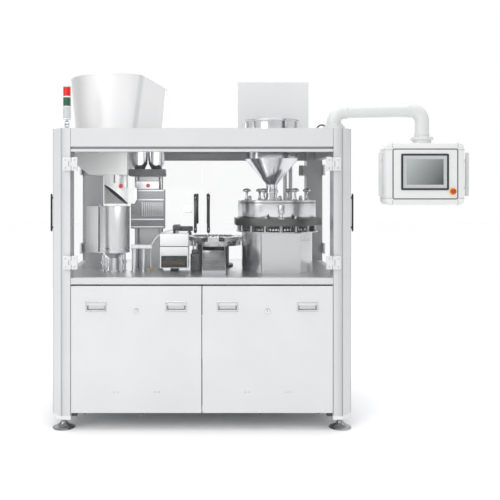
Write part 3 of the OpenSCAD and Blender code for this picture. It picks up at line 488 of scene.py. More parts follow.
foot_low, foot_high = node_box("levelling_feet")
FOOT_R = 0.073
foot_top = foot_high[2]
bell = [(0, 0), (FOOT_R - 0.002, 0), (FOOT_R, 0.002), (FOOT_R, 0.005), (0.067, 0.0095), (0.052, 0.015),
    (0.038, 0.022), (0.027, 0.031), (0.0215, 0.041), (0.0205, 0.0485), (0.019, 0.05), (0, 0.05)]
nut = [(0, 0.0585), (0.0165, 0.0585), (0.019, 0.0605), (0.019, 0.067), (0.0165, 0.069), (0, 0.069)]
feet = []
for x in (foot_low[0] + FOOT_R, foot_high[0] - FOOT_R):
    for y in (foot_low[1] + FOOT_R, foot_high[1] - FOOT_R):
        feet.append(turned(bell, (x, y, 0), sides=48))
        feet.append(turned(nut, (x, y, 0), sides=6))
        spindle = [(0, 0.0495)] + thread(0.0098, 0.05, foot_top - 0.001, 0.003) + [(0, foot_top)]
        feet.append(turned(spindle, (x, y, 0), sides=20))
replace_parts(piece("levelling_feet_turned", feet, "frame", FOOT_STEEL, 30), "levelling_feet")

# ---- Lower front panels ----
# Folded trays in paler paint. Each has two cup pulls in bright frames, a quarter-turn lock and
# two pairs of rivets that hold a stiffener behind the sheet.


def ring_xz(x, z, w, h, r, y, steps=5):
    """A rectangle with round corners in a plane across Y: each corner is a quarter circle."""
    quarter = np.linspace(0, math.pi / 2, steps)
    r = max(r, 0.0002)
    angle = np.concatenate([quarter + k * math.pi / 2 for k in range(4)])
    side_x = np.repeat([1, -1, -1, 1], steps)
    side_z = np.repeat([1, 1, -1, -1], steps)
    px = x + side_x * (w / 2 - r) + r * np.cos(angle)
    pz = z + side_z * (h / 2 - r) + r * np.sin(angle)
    return np.stack([px, np.full_like(px, y), pz], -1)


def plate(x, z, w, h, r, profile, closed=False):
    """A plate or a frame that faces -Y: a profile of (inset, y) steps carried round a rectangle."""
    rings = [ring_xz(x, z, w - 2 * inset, h - 2 * inset, r - inset, y) for inset, y in profile]
    return lofted(rings, closed)


def dome(x, z, y, r, tall):
    """A round rivet or screw head on a face that looks towards -Y."""
    profile = [(0, 0), (r, 0), (r * 0.9, tall * 0.5), (r * 0.5, tall * 0.9), (0, tall)]
    return turned(profile, (x, y, z), (0, -1, 0), 16)


FRAME_STEEL = steel("cup pull steel", (0.62, 0.63, 0.64), 0.28, (8, 300, 300))
SLOT_SHADE = paint("recess shadow paint", (0.2, 0.2, 0.2), 0.5, 0)
CUP_W, CUP_H, CUP_OFF, CUP_UP = 0.127, 0.055, 0.133, 0.163
LOCK_UP = 0.161
for side in ("left", "right"):
    panel = "lower_panel_" + side
    low, high = node_box(panel)
    front, middle = low[1], (low[0] + high[0]) / 2
    dress(panel, PALER)
    cups, backs, rivets = [], [], []
    for hand in (-1, 1):
        x = middle + hand * ((high[0] - low[0]) / 2 - CUP_UP)
        z = high[2] - CUP_OFF
        cup_steps = [(0, front + 0.0005), (0, front - 0.0015), (0.001, front - 0.0025),
            (0.0085, front - 0.0025), (0.0095, front - 0.0015), (0.0095, front + 0.0005)]
        cups.append(plate(x, z, CUP_W + 0.012, CUP_H + 0.012, 0.004, cup_steps, True))
        back_steps = [(0.004, front + 0.0215), (0, front + 0.02), (0, front + 0.0165),
            (0.0015, front + 0.015)]
        backs.append(plate(x, z - 0.004, CUP_W - 0.02, CUP_H - 0.026, 0.003, back_steps))
        for step in (-0.012, 0.012):
            rivets.append(dome(middle + hand * 0.133 + step, 0.249, front, 0.0052, 0.0022))
    piece(f"cup_frames_{side}", cups, panel, FRAME_STEEL)
    piece(f"cup_backs_{side}", backs, panel, FRAME_STEEL)
    piece(f"rivets_{side}", rivets, panel, FRAME_STEEL)
    z = high[2] - LOCK_UP
    lock = "cam_lock_" + side
    dress(lock, POLISHED)
    face = [(0, -0.001), (0.0178, -0.001), (0.0182, 0.001), (0.0165, 0.0042), (0.012, 0.0052),
        (0.0108, 0.0042), (0.0, 0.0042)]
    piece(f"lock_face_{side}", [turned(face, (middle, front, z), (0, -1, 0), 36)], lock, POLISHED)
    # A dark bar stands in the lock's key slot as painted shade.
    piece(f"lock_slot_shade_{side}", [rounded((middle - 0.0016, front - 0.0048, z - 0.007),
        (middle + 0.0016, front - 0.004, z + 0.007), 0.0004)], lock, SLOT_SHADE)

# ---- Deck, floor pan and screws ----
# The working deck is a thick ground plate of stainless steel. The floor pan is thin sheet that
# carries the electrical cabinet.

GROUND = steel("ground deck steel", (0.60, 0.61, 0.62), 0.32, (4, 900, 4), 0.00001, 0.05, 0.94)
SHEET_STEEL = steel("brushed sheet steel", (0.66, 0.67, 0.68), 0.3, (4, 4, 900), 0.00001, 0.05, 0.94)
dress("deck_plate", GROUND, 0.001)
dress("floor_pan", SHEET_STEEL, 0.0005)

# ---- Doors ----
# Toughened glass hangs on moulded hinge blocks: one half is screwed to the post, the other clamps
# the glass, and a steel pin joins them. Each door has a black bar handle on two stand-offs.

GLASS, glass_skin = shader("toughened glass")
glass_skin.inputs["Base Color"].default_value = (0.42, 0.48, 0.47, 1)
glass_skin.inputs["Roughness"].default_value = 0.03
glass_skin.inputs["IOR"].default_value = 1.5
film = spread(GLASS, grain(GLASS, CLOUDS, 1.4), 0.012, 0.03)
GLASS.node_tree.links.new(film, glass_skin.inputs["Alpha"])
HINGE_GREY = paint("moulded hinge plastic", (0.72, 0.73, 0.73), 0.38, 0.1)
BLACK = paint("black moulded plastic", (0.022, 0.022, 0.024), 0.36, 0)

HINGE_OUT, GLASS_IN, GLASS_T = 0.014, 0.012, 0.008
HINGE_H = 0.087
glass_low, glass_high = node_box("front_left_door")
hinge_low, hinge_high = node_box("hinge_leaves")
hinge_zs = (hinge_low[2] + HINGE_H / 2, hinge_high[2] - HINGE_H / 2)
IN_X, IN_Y = post_high[0] - POST_W, post_high[1] - POST_W
OUT_X, OUT_Y = post_high[0] + HINGE_OUT, post_high[1] + HINGE_OUT
HANDLE_Z, HANDLE_L, HANDLE_INSET = 1.405, 0.256, 0.042
DOORS = {
    "front_left": ((-IN_X, -OUT_Y), (1, 0), (0, 1)), "front_right": ((IN_X, -OUT_Y), (-1, 0), (0, 1)),
    "rear_left": ((-IN_X, OUT_Y), (1, 0), (0, -1)), "rear_right": ((IN_X, OUT_Y), (-1, 0), (0, -1)),
    "left_side": ((-OUT_X, IN_Y), (0, -1), (1, 0)), "right_side": ((OUT_X, IN_Y), (0, -1), (-1, 0))}


def hung(shapes, place):
    """Turns shapes drawn from a hinge axis, x along the door and y inwards, to their place."""
    (px, py), along, inward = place
    moved = []
    for points, faces in shapes:
        x = px + points[:, 0] * along[0] + points[:, 1] * inward[0]
        y = py + points[:, 0] * along[1] + points[:, 1] * inward[1]
        moved.append((np.stack([x, y, points[:, 2]], -1), faces))
    return moved


def hinge_half(side, z):
    """One half of a hinge: its block and its knuckles. side is -1 on the post."""
    third = HINGE_H / 3 - 0.0005
    back = HINGE_OUT if side < 0 else GLASS_IN
    shapes = [rounded((side * 0.009, -0.004, z - HINGE_H / 2), (side * 0.047, back, z + HINGE_H / 2), 0.003)]
    starts = (0, HINGE_H - third) if side < 0 else (third + 0.001,)
    tall = third if side < 0 else HINGE_H - 2 * third - 0.002
    knuckle = [(0, 0), (0.0062, 0), (0.007, 0.0008), (0.007, tall - 0.0008), (0.0062, tall), (0, tall)]
    for start in starts:
        low = z - HINGE_H / 2 + start
        shapes.append(turned(knuckle, (0, 0, low), sides=24))
        shapes.append(rounded((side * 0.001, -0.004, low), (side * 0.0125, 0.004, low + tall), 0.001))
    return shapes


def hinge_screws(side, z):
    """Two countersunk screw heads in the face of a hinge half, each with a socket."""
    head = [(0, 0), (0.0052, 0), (0.0056, 0.0004), (0.005, 0.0012), (0.0028, 0.0013), (0.0026, 0.0006),
        (0, 0.0006)]
    return [turned(head, (side * 0.029, -0.004, z + up), (0, -1, 0), 20) for up in (-0.026, 0.026)]


def bar_handle(x):
    """A handle on the outside: a bar of rounded section that swells at its ends, on two pegs."""
    z = np.linspace(-1, 1, 33)
    swell = 0.82 + 0.18 * z ** 2
    end = np.sqrt(np.clip(1 - np.clip((np.abs(z) - 0.93) / 0.07, 0, 1) ** 2, 0.02, 1))
    a = np.linspace(0, 2 * math.pi, 24, endpoint=False)
    cx = np.sign(np.cos(a)) * np.abs(np.cos(a)) ** 0.6 * 0.011
    cy = np.sign(np.sin(a)) * np.abs(np.sin(a)) ** 0.7 * 0.006
    rings = np.stack([x + cx * (swell * end)[:, None], -0.020 + cy * end[:, None],
        np.broadcast_to(HANDLE_Z + z[:, None] * HANDLE_L / 2, (33, 24))], -1)
    shapes = [lofted(rings)]
    peg = [(0, 0), (0.0105, 0), (0.0105, 0.003), (0.0075, 0.005), (0.0065, 0.026), (0, 0.026)]
    for up in (-0.1, 0.1):
        shapes.append(turned(peg, (x, GLASS_IN, HANDLE_Z + up), (0, -1, 0), 24))
    return shapes


for door, place in DOORS.items():
    width = IN_X - 0.0015 if abs(place[1][0]) else 2 * IN_Y - 0.003
    grip = width - HANDLE_INSET if abs(place[1][1]) or "rear" in door else IN_X - HANDLE_INSET
    halves = hung([s for z in hinge_zs for s in hinge_half(1, z)], place)
    hinges = piece(door + "_hinge_blocks", halves, door + "_door", HINGE_GREY)
    screws = hung([s for z in hinge_zs for s in hinge_screws(1, z)], place)
    piece(door + "_hinge_screws", screws, door + "_door", FRAME_STEEL)
    if "front" in door:
        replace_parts(hinges, door + "_fittings")
        dress(door + "_door", GLASS)
    else:
        pane = rounded((0.003, GLASS_IN, glass_low[2]), (width, GLASS_IN + GLASS_T, glass_high[2]), 0.0008)
        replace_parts(piece(door + "_pane", hung([pane], place), door + "_door", GLASS),
            door + "_door")
    piece(door + "_handle", hung(bar_handle(grip), place), door + "_door", BLACK, 45)
    tips = [turned([(0, 0), (0.0035, 0), (0.0035, 0.0008), (0.0025, 0.0015), (0, 0.0015)],
        (grip, -0.026, HANDLE_Z + up), (0, -1, 0), 16) for up in (-0.1, 0.1)]
    piece(door + "_handle_screws", hung(tips, place), door + "_door", FRAME_STEEL)

post_halves = [s for p in DOORS.values() for z in hinge_zs for s in hung(hinge_half(-1, z), p)]
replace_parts(piece("post_hinge_blocks", post_halves, "frame", HINGE_GREY), "hinge_leaves")
post_screws = [s for p in DOORS.values() for z in hinge_zs for s in hung(hinge_screws(-1, z), p)]
piece("post_hinge_screws", post_screws, "frame", FRAME_STEEL)
pins = [rod(0.0033, HINGE_H, (*p[0], z - HINGE_H / 2), sides=16) for p in DOORS.values() for z in hinge_zs]
piece("hinge_pins", pins, "frame", POLISHED)
latch = [rounded((-0.117, glass_low[1] - 0.006, 1.409), (-0.065, glass_low[1] - 0.0002, 1.458), 0.002)]
piece("latch_plate", latch, "front_left_door", FRAME_STEEL)

# ---- Capsule hopper ----
# Rolled and welded sheet: round at one end, with a square loading end whose rim falls away. The rim
# is folded over to a bead, the sheet is brushed upwards, and a soft band of painted shade lies along the fold
# where the sheet parts round from flat.

HOPPER_STEEL = steel("brushed hopper steel with painted fold shade", (0.90, 0.90, 0.90), 0.38, (700, 700, 3), 0.00002, 0.04, 0.96)
hopper_skin = HOPPER_STEEL.node_tree.nodes["Principled BSDF"]
hopper_skin.inputs["Metallic"].default_value = 0.55


FOLD_LEAN, FOLD_OFFSET = 0.14, 0.744


def fold_shade_mask():
    """A soft stripe of painted shade where the round sheet turns flat: 1 within 4 mm of the line
    x = FOLD_LEAN z - FOLD_OFFSET and 0 from 26 mm off it."""
    tree = bpy.data.node_groups.new("fold shade mask", "ShaderNodeTree")
    socket(tree, "Value", "NodeSocketFloat", "OUTPUT")
    add, link = tree.nodes.new, tree.links.new
    place, leaning = add("ShaderNodeTexCoord"), add("ShaderNodeVectorMath")
    leaning.operation = "DOT_PRODUCT"
    leaning.inputs[1].default_value = (1, 0, -FOLD_LEAN)
    link(place.outputs["Object"], leaning.inputs[0])
    past, off, near = add("ShaderNodeMath"), add("ShaderNodeMath"), add("ShaderNodeMapRange")
    past.inputs[1].default_value = FOLD_OFFSET
    link(leaning.outputs["Value"], past.inputs[0])
    off.operation = "ABSOLUTE"
    link(past.outputs[0], off.inputs[0])
    near.interpolation_type = "SMOOTHSTEP"
    near.inputs["From Min"].default_value = 0.004
    near.inputs["From Max"].default_value = 0.026
    near.inputs["To Min"].default_value = 1.0
    near.inputs["To Max"].default_value = 0.0
    link(off.outputs[0], near.inputs["Value"])
    link(near.outputs["Result"], add("NodeGroupOutput").inputs["Value"])
    return tree


# Along the fold the brushed tone is mixed towards a darker grey: painted shade.
fold = HOPPER_STEEL.node_tree.nodes.new("ShaderNodeGroup")
fold.node_tree = fold_shade_mask()
shaded = HOPPER_STEEL.node_tree.nodes.new("ShaderNodeMix")
shaded.data_type = "RGBA"
shaded.inputs["B"].default_value = (0.72, 0.725, 0.73, 1)
brushed_tone = hopper_skin.inputs["Base Color"].links[0].from_socket
join = HOPPER_STEEL.node_tree.links.new
join(brushed_tone, shaded.inputs["A"])
join(fold.outputs["Value"], shaded.inputs["Factor"])
join(shaded.outputs["Result"], hopper_skin.inputs["Base Color"])

HOPPER_C, HOPPER_R, FLARE, HOPPER_H = (-0.606, -0.06), 0.31, 0.036, 0.396
ARC_POINTS = 73


def hopper_outline(grow):
    """A circle and two corners ahead of it, joined by the straight lines that touch the circle."""
    r, a, b = HOPPER_R + grow, HOPPER_R + 0.011 + grow, 0.182 + grow
    touch = math.atan2(b, a) + math.acos(r / math.hypot(a, b))
    angle = np.linspace(touch, 2 * math.pi - touch, ARC_POINTS)
    arc = np.stack([r * np.cos(angle), r * np.sin(angle)], -1)
    blend = np.linspace(0, 1, 9)[:-1, None]
    front = arc[-1] + (np.array([a, -b]) - arc[-1]) * blend
    end = np.array([a, -b]) + (np.array([a, b]) - np.array([a, -b])) * blend
    back = np.array([a, b]) + (arc[0] - np.array([a, b])) * blend
    return np.vstack([arc[:-1], front, end, back]) + HOPPER_C


def hopper_rings(inset, steps):
    """Rows of the hopper's wall: a straight blend from the lower to the upper outline, cut at the rim."""
    foot, brim = hopper_outline(-inset), hopper_outline(FLARE - inset)
    slope = math.tan(math.radians(27))
    past = foot[:, 0] - (HOPPER_C[0] + 0.186)
    run = brim[:, 0] - foot[:, 0]
    top = np.clip((HOPPER_H - past * slope) / (HOPPER_H + run * slope), 0, 1)
    t = np.asarray(steps)[:, None] * top
    xy = foot + (brim - foot) * t[..., None]
    return np.concatenate([xy, (ROOF_Z + HOPPER_H * t)[..., None]], -1)


outside = hopper_rings(0.0, np.linspace(0, 0.985, 14))
bead = hopper_rings(-0.0035, [0.987, 0.998])
inside = hopper_rings(0.003, np.linspace(1, 0, 14))
hopper_wall = piece("capsule_hopper_sheet", [lofted(np.concatenate([outside, bead, inside]), True)],
    "frame", HOPPER_STEEL, 30)
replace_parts(hopper_wall, "capsule_hopper")

# ---- Powder loader ----
# A box of bent pale sheet over the powder hopper. Its back carries the suction spigot with a hose
# bead, and an inspection plate on four screws.

dress("loader_box", PALER, 0.0025)
SPIGOT_X, SPIGOT_Z, BACK_Y, COVER_Y = 0.412, 2.206, 0.53, 0.5332
cover = [rounded((0.50, BACK_Y + 0.0002, 2.02), (0.72, COVER_Y, 2.30), 0.0012)]
piece("loader_back_plate", cover, "frame", PALE)
screw = [(0, 0), (0.006, 0), (0.0055, 0.002), (0.003, 0.0032), (0, 0.0034)]
screws = [turned(screw, (x, COVER_Y, z), (0, 1, 0), 16) for x in (0.515, 0.705) for z in (2.035, 2.285)]
piece("loader_back_screws", screws, "frame", FRAME_STEEL)
flange = np.array([(0.0319, 0.0005), (0.046, 0.0005), (0.047, 0.0015), (0.047, 0.0035), (0.046, 0.0045),
    (0.0319, 0.0045)])
a = np.linspace(0, 2 * math.pi, 40, endpoint=False)
flange_x, flange_z = SPIGOT_X + flange[:, :1] * np.cos(a), SPIGOT_Z + flange[:, :1] * np.sin(a)
flange_y = np.broadcast_to(BACK_Y + flange[:, 1:], flange_x.shape)
ring = lofted(np.stack([flange_x, flange_y, flange_z], -1), True)
piece("spigot_flange", [ring], "frame", POLISHED)

# ---- Powder hopper and its lid ----
# Turned from bright steel: a cylinder through the roof, a cone and a tube down to the powder
# bowl. Clamps hold its flange, and a hinged lid with a bar handle closes it.

HX, HY = 0.49, -0.23
tube_z0 = node_box("powder_hopper")[0][2]
cone_low, cone_high = 1.598, 1.774
R, TR = 0.185, 0.04
outer = [(TR, tube_z0), (TR, 1.532), (TR + 0.005, 1.534), (TR + 0.006, 1.546), (TR + 0.005, 1.558),
    (TR, 1.56), (TR, cone_low - 0.006), (TR + 0.002, cone_low), (R - 0.006, cone_high - 0.008),
    (R, cone_high), (R, 1.80), (R, 1.955), (R + 0.013, 1.9562), (R + 0.015, 1.958), (R + 0.015, 1.964),
    (R + 0.013, 1.966), (R + 0.001, 1.966), (R, 1.969), (R, 2.030), (R + 0.008, 2.032), (R + 0.01, 2.034),
    (R + 0.01, 2.038), (R + 0.008, 2.04), (R - 0.002, 2.04)]
inner = [(R - 0.003, 2.038), (R - 0.003, cone_high + 0.001), (TR - 0.003, cone_low + 0.001),
    (TR - 0.003, tube_z0)]


def revolved(profile, x, y, sides=72):
    """A closed profile of (radius, height) carried round an upright axis: a hollow ring of metal."""
    profile = np.asarray(profile, float)
    a = np.linspace(0, 2 * math.pi, sides, endpoint=False)
    px = x + profile[:, :1] * np.cos(a)
    py = y + profile[:, :1] * np.sin(a)
    return lofted(np.stack([px, py, np.broadcast_to(profile[:, 1:], px.shape)], -1), True)


LID_STEEL = steel("lid steel", (0.60, 0.605, 0.61), 0.3, (2, 2, 900), 0.00001, 0.04, 0.94)
KNOB_STEEL = steel("knob steel", (0.50, 0.51, 0.52), 0.13, (30, 30, 30), 0.00001, 0.03, 0.93)
lugs = [rounded((HX + side * 0.04 - 0.007, -0.039, 2.032), (HX + side * 0.04 + 0.007, -0.018, 2.0515), 0.002)
    for side in (-1, 1)]
pin = rod(0.003, 0.08, (HX - 0.04, -0.025, 2.046), (1, 0, 0), 16)
hopper_shapes = [revolved(outer + inner, HX, HY)] + lugs + [pin]
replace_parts(piece("powder_hopper_turned", hopper_shapes, "frame", POLISHED, 30), "powder_hopper")
LID_Z = 2.0403
lid = [turned([(0, 0), (R + 0.007, 0), (R + 0.008, 0.001), (R + 0.008, 0.004), (R + 0.007, 0.005),
    (R - 0.012, 0.005), (R - 0.016, 0.0042), (0, 0.0042)], (HX, HY, LID_Z), sides=72),
    rounded((HX - 0.032, -0.047, LID_Z), (HX + 0.032, -0.026, LID_Z + 0.005), 0.001),
    turned([(0, 0), (0.0052, 0), (0.0056, 0.0006), (0.0056, 0.0634), (0.0052, 0.064), (0, 0.064)],
        (HX - 0.032, -0.025, 2.046), (1, 0, 0), 24),
    turned([(0, 0), (0.005, 0.0), (0.006, 0.002), (0.006, 0.088), (0.005, 0.09), (0, 0.09)],
        (HX - 0.045, HY, LID_Z + 0.0195), (1, 0, 0), 20)]
lid += [turned([(0, 0), (0.009, 0), (0.009, 0.0015), (0.005, 0.003), (0.005, 0.017), (0, 0.017)],
    (HX + s * 0.036, HY, LID_Z + 0.004), sides=20) for s in (-1, 1)]
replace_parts(piece("powder_lid_turned", lid, "powder_lid", LID_STEEL, 30), "powder_lid")
dress("hopper_clamps", DARK_PAINT, 0.001)
knobs = [turned([(0, 0), (0.011, 0), (0.012, 0.002), (0.012, 0.012), (0.010, 0.015), (0, 0.016)],
    (HX + s * 0.211, HY, 1.98), sides=20) for s in (-1, 1)]
piece("clamp_knobs", knobs, "frame", BLACK)

# ---- Signal light ----
# A column of coloured lenses between white bands, on a grey tube with a folding knuckle.

LX, LY = -0.884, -0.587
LIGHT_GREY = paint("signal light grey", (0.58, 0.59, 0.59), 0.4, 0.1)
WHITE = paint("white plastic", (0.80, 0.80, 0.79), 0.4, 0)


def lens(name, colour):
    """Coloured lens plastic: deep gloss, a slight inner glow and a faint cloud in its tone."""
    material, skin = shader(name)
    clouds = grain(material, CLOUDS, 30.0)
    tint(material, clouds, [c * 0.85 for c in colour], colour, skin.inputs["Base Color"])
    skin.inputs["Roughness"].default_value = 0.22
    skin.inputs["Emission Color"].default_value = (*colour, 1)
    skin.inputs["Emission Strength"].default_value = 0.12
    skin.inputs["Coat Weight"].default_value = 0.5
    return material


RED = lens("red lens", (0.66, 0.008, 0.01))
GREEN = lens("green lens", (0.02, 0.10, 0.05))
dress("light_base", POLISHED, 0.0005)
LIGHT_Z0, LIGHT_R = 2.016, 0.026
tiers = [("light_foot", LIGHT_GREY, "black_plastic", 0.008, 0.081),
    ("light_green_lens", GREEN, "light_lens", 0.088, 0.144),
    ("light_red_lens", RED, "light_lens", 0.153, 0.213), ("light_cap", WHITE, "light_lens", 0.217, 0.225)]
for name, finish, slot, low, high in tiers:
    z0, z1 = LIGHT_Z0 + low, LIGHT_Z0 + high
    ribs = np.linspace(z0 + 0.004, z1 - 0.004, 9)
    wave = LIGHT_R - 0.0015 + 0.0008 * np.cos(np.linspace(0, 8 * math.pi, 9) * (finish in (RED, GREEN)))
    profile = [(0, z0), (LIGHT_R - 0.004, z0), (LIGHT_R - 0.001, z0 + 0.002)] + list(zip(wave, ribs)) + [
        (LIGHT_R - 0.001, z1 - 0.002), (LIGHT_R - 0.004, z1), (0, z1)]
    piece(name, [turned(profile, (LX, LY, 0), sides=36)], "stack_light", finish, 50)
bands = []
for up, tall in ((0.0, 0.008), (0.081, 0.007), (0.144, 0.009), (0.213, 0.004)):
    band = [(0, 0), (LIGHT_R - 0.0005, 0), (LIGHT_R, 0.0007), (LIGHT_R, tall - 0.0007),
        (LIGHT_R - 0.0005, tall), (0, tall)]
    bands.append(turned(band, (LX, LY, LIGHT_Z0 + up), sides=36))
piece("light_bands", bands, "stack_light", WHITE)
KNUCKLE_Z = LIGHT_Z0 - 0.022
barrel = turned([(0, 0), (0.0105, 0), (0.012, 0.0015), (0.012, 0.0139), (0.0105, 0.0154), (0, 0.0154)],
    (LX - 0.0077, LY, KNUCKLE_Z), (1, 0, 0), 32)
neck_profile = [(0, 0), (0.0075, 0), (0.0075, 0.01), (0.02, 0.0135), (0.02, 0.0145), (0, 0.0145)]
neck = turned(neck_profile, (LX, LY, KNUCKLE_Z + 0.008), sides=32)
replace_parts(piece("light_knuckle", [barrel, neck], "stack_light", POLISHED), "stack_light")

# ---- Operator panel: arm ----
# A round painted tube with two long elbows. Sleeves cover its joints, a flange with screws
# carries it on the roof, and a second flange holds the panel's case.

ARM_PAINT = paint("arm paint", (0.68, 0.685, 0.68), 0.34, 0.2)
AX, AY, ARM_Z, REACH, BEND, ARM_R = 0.865, -0.58, 2.068, 0.555, 0.07, 0.045
TURN = math.radians(-10)


def on_arm(points):
    """Points drawn along +X from the pivot's axis, turned about it to the arm's direction."""
    points = np.asarray(points, float)
    x = AX + points[..., 0] * math.cos(TURN) - points[..., 1] * math.sin(TURN)
    y = AY + points[..., 0] * math.sin(TURN) + points[..., 1] * math.cos(TURN)
    return np.stack([x, y, points[..., 2]], -1)


def bent_tube(path, radii, sides=40):
    """Rings of given radii round a path in the X-Z plane, each square to the path's direction."""
    path, radii = np.asarray(path, float), np.asarray(radii, float)
    ahead = np.gradient(path, axis=0)
    ahead /= np.linalg.norm(ahead, axis=1)[:, None]
    up = np.stack([-ahead[:, 1], ahead[:, 0]], -1)
    a = np.linspace(0, 2 * math.pi, sides, endpoint=False)
    x = path[:, :1] + radii[:, None] * np.cos(a) * up[:, :1]
    z = path[:, 1:] + radii[:, None] * np.cos(a) * up[:, 1:]
    y = np.broadcast_to(radii[:, None] * np.sin(a), x.shape)
    return np.stack([x, y, z], -1)


def quarter(cx, cz, start, stop, r, n=15):
    """An arc from one angle to another about a centre."""
    a = np.radians(np.linspace(start, stop, n))
    return np.stack([cx + r * np.cos(a), cz + r * np.sin(a)], -1)


shin = ROOF_Z + 0.0285
flange_z = ROOF_Z - 0.081
rise = [(0, shin), (0, ARM_Z - BEND - 0.002)]
level = [(BEND + 0.004, ARM_Z), (BEND + 0.0041, ARM_Z), (REACH - BEND - 0.0041, ARM_Z),
    (REACH - BEND - 0.004, ARM_Z)]
fall = [(REACH, ARM_Z - BEND - 0.002), (REACH, flange_z + 0.017)]
path = np.vstack([rise, quarter(BEND, ARM_Z - BEND, 180, 90, BEND), level,
    quarter(REACH - BEND, ARM_Z - BEND, 90, 0, BEND), fall])
radii = np.full(len(path), ARM_R)
radii[18:20] = 0.042
tube = lofted(on_arm(bent_tube(path, radii)))


def arm_turned(profile, x, z, sides=48):
    """A turned part on the arm, at a distance from its pivot."""
    cx, cy, cz = on_arm([x, 0, z])
    return turned(profile, (cx, cy, cz), sides=sides)


foot = arm_turned([(0, 0), (0.056, 0), (0.058, 0.002), (0.058, 0.009), (0.056, 0.0115), (0.0475, 0.0125),
    (0.0475, 0.030), (0.0455, 0.032), (0, 0.032)], 0, ROOF_Z + 0.0163)
neck = arm_turned([(0, 0), (0.068, 0), (0.07, 0.002), (0.07, 0.0155), (0.068, 0.018), (0.0475, 0.0195),
    (0.0475, 0.04), (0.0455, 0.042), (0, 0.042)], REACH, flange_z)
sleeves = []
for x, way in ((BEND, 1), (REACH - BEND, -1)):
    sleeve = [(0, 0), (0.0458, 0.0), (0.0468, 0.002), (0.0468, 0.016), (0.0455, 0.018), (0.042, 0.0182),
        (0, 0.0182)]
    c = on_arm([x, 0, ARM_Z])
    sleeves.append(turned(sleeve, c, (way * math.cos(TURN), way * math.sin(TURN), 0), 40))
arm_piece = piece("arm_tube", [tube, foot, neck] + sleeves, "hmi_arm", ARM_PAINT, 32)
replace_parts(arm_piece, "hmi_arm")
bolts = []
bolt = [(0, 0), (0.0042, 0), (0.0042, 0.0028), (0.0035, 0.0034), (0.0022, 0.0034), (0, 0.002)]
for angle in np.radians(np.arange(0, 360, 60)):
    for x, r, z in ((0, 0.0525, ROOF_Z + 0.0278), (REACH, 0.060, flange_z + 0.0178)):
        c = on_arm([x + r * math.cos(angle), r * math.sin(angle), z])
        bolts.append(turned(bolt, c, sides=12))
piece("arm_bolts", bolts, "hmi_arm", POLISHED)
dress("arm_base", ARM_PAINT)

# ---- Operator panel: case ----
# A cast case with wide round corners that are separate mouldings, so seams cross its edges. A
# front plate stands proud, with the screen and the stop button, and a grip on each side.

case_low, case_high = node_box("hmi_case")
CASE_W, CASE_H, CASE_D, CASE_TOP = 0.5, 0.394, 0.15, 1.853
CX, CZ = (case_low[0] + case_high[0]) / 2, CASE_TOP - CASE_H / 2
CY0 = case_low[1] + 0.007
CASE_PAINT = paint("case paint", (0.76, 0.765, 0.76), 0.36, 0.2)
SEAM = paint("seam shadow", (0.12, 0.12, 0.12), 0.6, 0)
body = plate(CX, CZ, CASE_W, CASE_H, 0.032, [(0.012, CY0 + CASE_D), (0.004, CY0 + CASE_D - 0.002),
    (0, CY0 + CASE_D - 0.01), (0, CY0 + 0.075), (0.0015, CY0 + 0.074), (0.0015, CY0 + 0.071),
    (0, CY0 + 0.07), (0, CY0 + 0.012), (0.004, CY0 + 0.003), (0.014, CY0), (0.03, CY0)])
neck_profile = [(0, 0), (0.062, 0), (0.062, 0.003), (0.058, 0.008), (0.056, 0.036), (0.059, 0.039),
    (0.06, 0.0385), (0, 0.0397)]
neck_ring = turned(neck_profile, (CX, CY0 + 0.075, CASE_TOP - 0.001), sides=56)
case_piece = piece("case_body", [body, neck_ring], "hmi_case", CASE_PAINT, 32)
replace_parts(case_piece, "hmi_case")
face_steps = [(0, CY0 + 0.001), (0, CY0 - 0.0028), (0.0015, CY0 - 0.004)]
face = plate(CX, CZ, CASE_W - 0.1, CASE_H - 0.088, 0.010, face_steps)
piece("case_front_plate", [face], "hmi_case", CASE_PAINT)
# A dark ring round the front plate stands in for the shade in its groove: painted shade.
rim = plate(CX, CZ, CASE_W - 0.084, CASE_H - 0.072, 0.014, [(0, CY0 + 0.001), (0, CY0 - 0.0006),
    (0.001, CY0 - 0.001), (0.006, CY0 - 0.001), (0.007, CY0 - 0.0006), (0.007, CY0 + 0.001)], True)
piece("case_front_groove_shade", [rim], "hmi_case", SEAM)
CORNER, SEAM_HALF, SEAM_OUT, SEAM_BACK = 0.044, 0.0009, 0.0005, CY0 + CASE_D - 0.012


def seam(x, y, z):
    """A fine strip between two limits in x, in y and in z."""
    return rounded((x[0], y[0], z[0]), (x[1], y[1], z[1]), 0.0003)


seams = []
for sx in (-1, 1):
    for sz in (-1, 1):
        x, z = CX + sx * (CASE_W / 2 - CORNER), CZ + sz * CASE_H / 2
        across = (x - SEAM_HALF, x + SEAM_HALF)
        seams.append(seam(across, (CY0 + 0.002, SEAM_BACK), (z - SEAM_OUT, z + SEAM_OUT)))
        seams.append(seam(across, (CY0 - 0.0006, CY0 + 0.0006), (z - sz * 0.036, z - sz * 0.006)))
        x, z = CX + sx * CASE_W / 2, CZ + sz * (CASE_H / 2 - CORNER)
        across = (z - SEAM_HALF, z + SEAM_HALF)
        seams.append(seam((x - SEAM_OUT, x + SEAM_OUT), (CY0 + 0.002, SEAM_BACK), across))
        seams.append(seam((x - sx * 0.042, x - sx * 0.006), (CY0 - 0.0006, CY0 + 0.0006), across))
piece("case_seams", seams, "hmi_case", SEAM)

# ---- Operator panel: screen ----
# A touch screen behind a black bezel: a pale surround and a display that fades from grey to dark.

